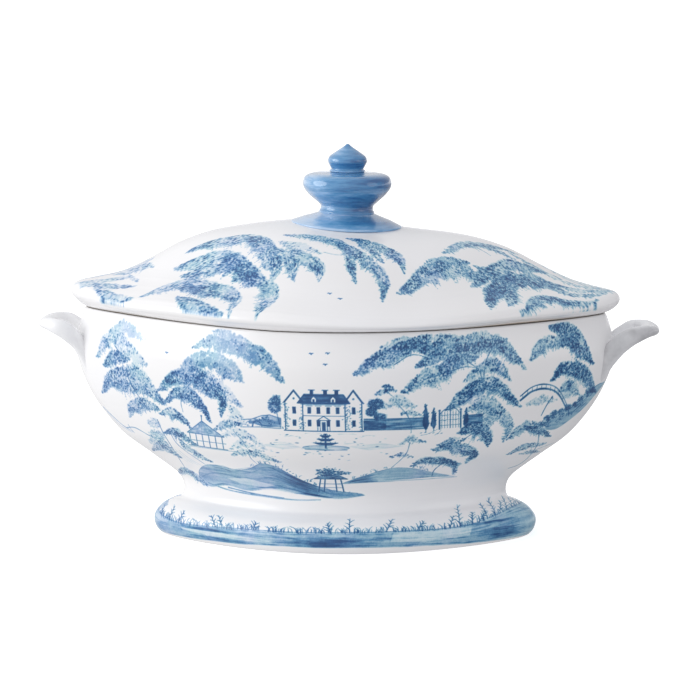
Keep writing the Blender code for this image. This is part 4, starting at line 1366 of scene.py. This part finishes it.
def make_lid(material):
    t = angles(FINE, LID_REACH, PINCH)
    outside = evenly(LID_OUTSIDE, 0.8)
    rings = ovals(outside, crown_pinch, t)
    ink = paint_lid().read(rings[..., 0], rings[..., 1])
    climb = spread(run_length(outside), len(t))
    ink = ink * np.clip((climb - 14.0 + 5.5 * np.cos(t) ** 4) / 2.5, 0, 1)
    # the shoulder is rounded down all along its sides, but not at its two ends
    rings[..., 2] -= np.interp(outside[:, 1:], *zip(*LIP_DROP)) * (1 - np.cos(t) ** 8)
    # the seam gapes a little at two places of the front
    x = rings[..., 0]
    gap = 0.3 + (1.1 * swell(x, 122, 34) + 0.35 * swell(x, -145, 24)) * (rings[..., 1] < 0)
    rings[..., 2] += gap * np.clip((157.0 - rings[..., 2]) / 3.0, 0, 1)
    rings[..., 2] += lean(x, rings[..., 2])
    inside = evenly(LID_INSIDE, COARSE)
    hollow = ovals(inside, crown_pinch, t, LID_WALL)
    hollow[-1] = ovals(inside[-1:], crown_pinch, t, 20.0)[0]
    groove = ovals(evenly(LID_GROOVE, 1.2), crown_pinch, t)
    hollow = np.concatenate([hollow, groove])
    hollow[..., 2] += warp(hollow[..., 0]) * np.clip((176.0 - hollow[..., 2]) / 12.0, 0, 1)
    clay = np.zeros(hollow.shape[:2])
    # the groove that sits on the rim is painted dark as the shade of the seam
    clay[-len(groove) + 1 :] = 2.0
    values = {"ink": np.concatenate([0 * clay, ink]), "clay": np.concatenate([clay, 0 * ink])}
    rings = np.concatenate([hollow, rings])
    return loft("lid_glazed", material, rings, values, first=(0, 0, 207.4), last=(0, 0, LID_TOP))


def wall_end(y, z):
    """How far out the bowl's outside lies at this place on its right end."""
    half = np.interp(z, [h for _, h in BOWL_OUTSIDE], [x for x, _ in BOWL_OUTSIDE])
    t = np.linspace(0, 1.2, 241)
    reach = SLENDERNESS * np.sin(t) * (1 - PINCH * np.cos(t) ** 2)
    return half * np.interp(np.abs(y) / half, reach, np.cos(t))


def make_loop(name, material, side, over, up, shade):
    """A handle on side 1 (right) or -1. Its far part is shifted over and up. shade is how strong the painted
    shade on its inner face is, carried in the field pool."""
    other_half = [((x, -y, z), high, thick) for (x, y, z), high, thick in LOOP[-2::-1]]
    centres, high, thick = zip(*LOOP, *other_half)
    centres = flow(centres, 12)
    sizes = flow(list(zip(high, thick)), 12)[:, None]
    along = np.gradient(centres, axis=0)
    outward = np.stack([along[:, 1], -along[:, 0], np.zeros(len(along))], 1)
    outward /= np.linalg.norm(outward, axis=1)[:, None]
    turn = np.linspace(0, math.tau, LOOP_POINTS, endpoint=False)
    rings = centres[:, None] + outward[:, None] * (sizes[..., 1] * np.cos(turn))[..., None]
    rings[..., 2] += sizes[..., 0] * np.sin(turn)
    # the roots end inside the thickness of the bowl's wall
    wall = wall_end(rings[..., 1], rings[..., 2]) - ROOT_DEPTH
    emerging = np.flatnonzero((rings[..., 0] > wall).any(axis=1))
    kept = slice(emerging[0] - 1, emerging[-1] + 2)
    rings = rings[kept]
    rings[..., 0] = np.maximum(rings[..., 0], wall[kept])
    far = np.clip((rings[..., 0] - 172.0) / 14.0, 0, 1)
    rings[..., 0] = side * rings[..., 0] + over * far
    rings[..., 2] += up * far
    # painted shade on the loop's inner face, carried in the field pool
    pool = shade * np.clip(0.25 - np.cos(turn), 0, 1) * np.ones((len(rings), 1))
    if side < 0:
        rings, pool = rings[:, ::-1], pool[:, ::-1]
    return loft(name, material, rings, {"pool": pool}, first=rings[0].mean(0), last=rings[-1].mean(0))


def tip_over(points):
    """Leans a turned piece of the finial the way the knob leans on the lid."""
    x = points[..., 0].copy()
    up = points[..., 2] - COLLAR_FOOT
    points[..., 0] += 1.3 + 0.014 * up
    points[..., 2] += 0.1 - x * np.interp(up, [0.0, 8.0, 20.0], [0.062, 0.040, 0.014])


def make_turned(name, material, outline, low, high, bed=False):
    """A round piece of the finial, closed at the heights low and high. One with a bed reaches down to follow
    the lid's crown, and has thinner glaze."""
    turn = np.linspace(0, math.tau, TURNED_POINTS, endpoint=False)
    r, z = evenly(outline, 0.5).T[..., None]
    rings = np.stack([r * np.cos(turn), r * np.sin(turn), spread(z, TURNED_POINTS)], -1)
    if bed:
        drop = np.clip((216.5 - rings[..., 2]) / 3.3, 0, 1)
        rings[..., 2] -= drop * (1.25 + 1.4 * (1 - np.cos(2 * turn)) / 2)
    ends = np.array([(0, 0, low), (0, 0, high)], float)
    tip_over(rings)
    tip_over(ends)
    # the field is lowered round the knob's neck below its bulb, which darkens the blue there
    thin = sum(swell(z, level, 0.55) for level in THIN) + (0.8 if bed else 0.0) - 0.4 * swell(z, 229.0, 3.5)
    return loft(name, material, rings, {"thin": spread(thin, TURNED_POINTS)}, first=ends[0], last=ends[1])


# ---------------------------------------------------------------- the studio
def studio_light(scene):
    """A soft surround that is brightest to the left and above, a bright band behind the object, and two
    softboxes whose reflections show on the glaze."""
    scene.world = bpy.data.worlds.new("studio")
    scene.world.use_nodes = True
    w = Nodes(scene.world.node_tree)
    where = w.node("ShaderNodeTexCoord").outputs["Generated"]
    x, y, z = w.node("ShaderNodeSeparateXYZ", Vector=where).outputs
    level = w.math("MULTIPLY_ADD", x, -SIDE_LIGHT, BASE_LIGHT)
    level = w.math("MULTIPLY_ADD", z, TOP_LIGHT, level)
    level = w.math("MULTIPLY_ADD", y, -FRONT_LIGHT, level)
    level = w.math("MAXIMUM", w.math("MINIMUM", level, MOST_LIGHT), LEAST_LIGHT)
    skyline = w.math("MULTIPLY", w.math("ABSOLUTE", w.math("SUBTRACT", z, 0.02)), 18.0)
    skyline = w.math("MAXIMUM", w.math("SUBTRACT", 1.15, skyline), 0.0)
    level = w.math("MAXIMUM", level, w.math("MINIMUM", w.math("MULTIPLY", skyline, 9.0), SKYLINE_LIGHT))
    rightward = w.math("MULTIPLY_ADD", x, 0.5, 0.5)
    tint = w.mix(rightward, (1.0, 0.998, 0.996, 1), (0.95, 0.955, 1.0, 1))
    background = w.tree.nodes["Background"]
    w.feed(background.inputs["Color"], tint)
    w.feed(background.inputs["Strength"], level)
    for name, place, width, height, power in SOFTBOXES:
        data = bpy.data.lights.new(name, "AREA")
        data.shape = "ELLIPSE"
        data.size = width
        data.size_y = height
        data.energy = power
        data.diffuse_factor = 0.04
        light = bpy.data.objects.new(name, data)
        light.location = place
        light.rotation_euler = (Vector((0, 0, 0.15)) - Vector(place)).to_track_quat("-Z", "Y").to_euler()
        scene.collection.objects.link(light)


def pale_floor(scene):
    """A bright floor without an edge in view, kept out of the object's own light and reflections."""
    mesh = bpy.data.meshes.new("floor")
    mesh.from_pydata([(x, y, 0) for x, y in quad(-60, -60, 60, 60)], [], [(0, 1, 2, 3)])
    s = Shader("floor_paper")
    mesh.materials.append(s.finish(s.ramp(s.noise(3.0), ((0.0, "f7f7f7"), (1.0, "fafafa"))), 0.9))
    s.out.inputs["Emission Color"].default_value = (1, 1, 1, 1)
    s.out.inputs["Emission Strength"].default_value = FLOOR_LIGHT
    s.out.inputs["Specular IOR Level"].default_value = 0.0
    floor = bpy.data.objects.new("floor", mesh)
    floor.visible_diffuse = False
    floor.visible_glossy = False
    scene.collection.objects.link(floor)
    return floor


def set_camera(scene):
    data = bpy.data.cameras.new("camera")
    data.lens = CAMERA_LENS
    data.sensor_width = 36.0
    data.clip_end = 200.0
    camera = bpy.data.objects.new("camera", data)
    aim = Vector(CAMERA_AIM)
    level = math.sqrt(CAMERA_RANGE**2 - CAMERA_CLIMB**2)
    away = Vector((math.sin(CAMERA_TURN) * level, -math.cos(CAMERA_TURN) * level, CAMERA_CLIMB))
    camera.location = aim + away
    camera.rotation_euler = (aim - camera.location).to_track_quat("-Z", "Y").to_euler()
    scene.collection.objects.link(camera)
    scene.camera = camera


def main():
    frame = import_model()
    scene = bpy.context.scene
    painted = painted_glaze("painted_glaze_look")
    white = white_glaze("white_glaze_look")
    cobalt = cobalt_glaze("cobalt_glaze_look")

    made = [
        (make_bowl(painted), "tureen", "painted_glaze", "tureen_bowl"),
        (make_foot(painted), "tureen", "painted_glaze", "pedestal_foot"),
        (make_lid(painted), "lid", "painted_glaze", "lid_shell"),
        (make_loop("loop_right", white, 1, 2.2, -0.4, 1.7), "tureen", "white_glaze", "handle_right"),
        (make_loop("loop_left", white, -1, 2.4, 2.4, 0.0), "tureen", "white_glaze", "handle_left"),
        (make_turned("collar_blue", cobalt, COLLAR, COLLAR_FOOT, 220.6, bed=True),
         "lid", "cobalt_glaze", "finial_collar"),
        (make_turned("knob_blue", cobalt, KNOB, 219.6, 248.0), "lid", "cobalt_glaze", "finial_knob"),
        (make_turned("bud_blue", cobalt, BUD, 247.8, 266.0), "lid", "cobalt_glaze", "finial_bud"),
    ]
    for piece, body, slot, node in made:
        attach(piece, body)
        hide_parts(node)
    flange = frame["nodes"]["lid_flange"]
    flange.data.materials.clear()
    flange.data.materials.append(white)

    pale_floor(scene)
    studio_light(scene)
    set_camera(scene)
    scene.view_settings.view_transform = "Standard"

    bpy.context.view_layer.update()


main()
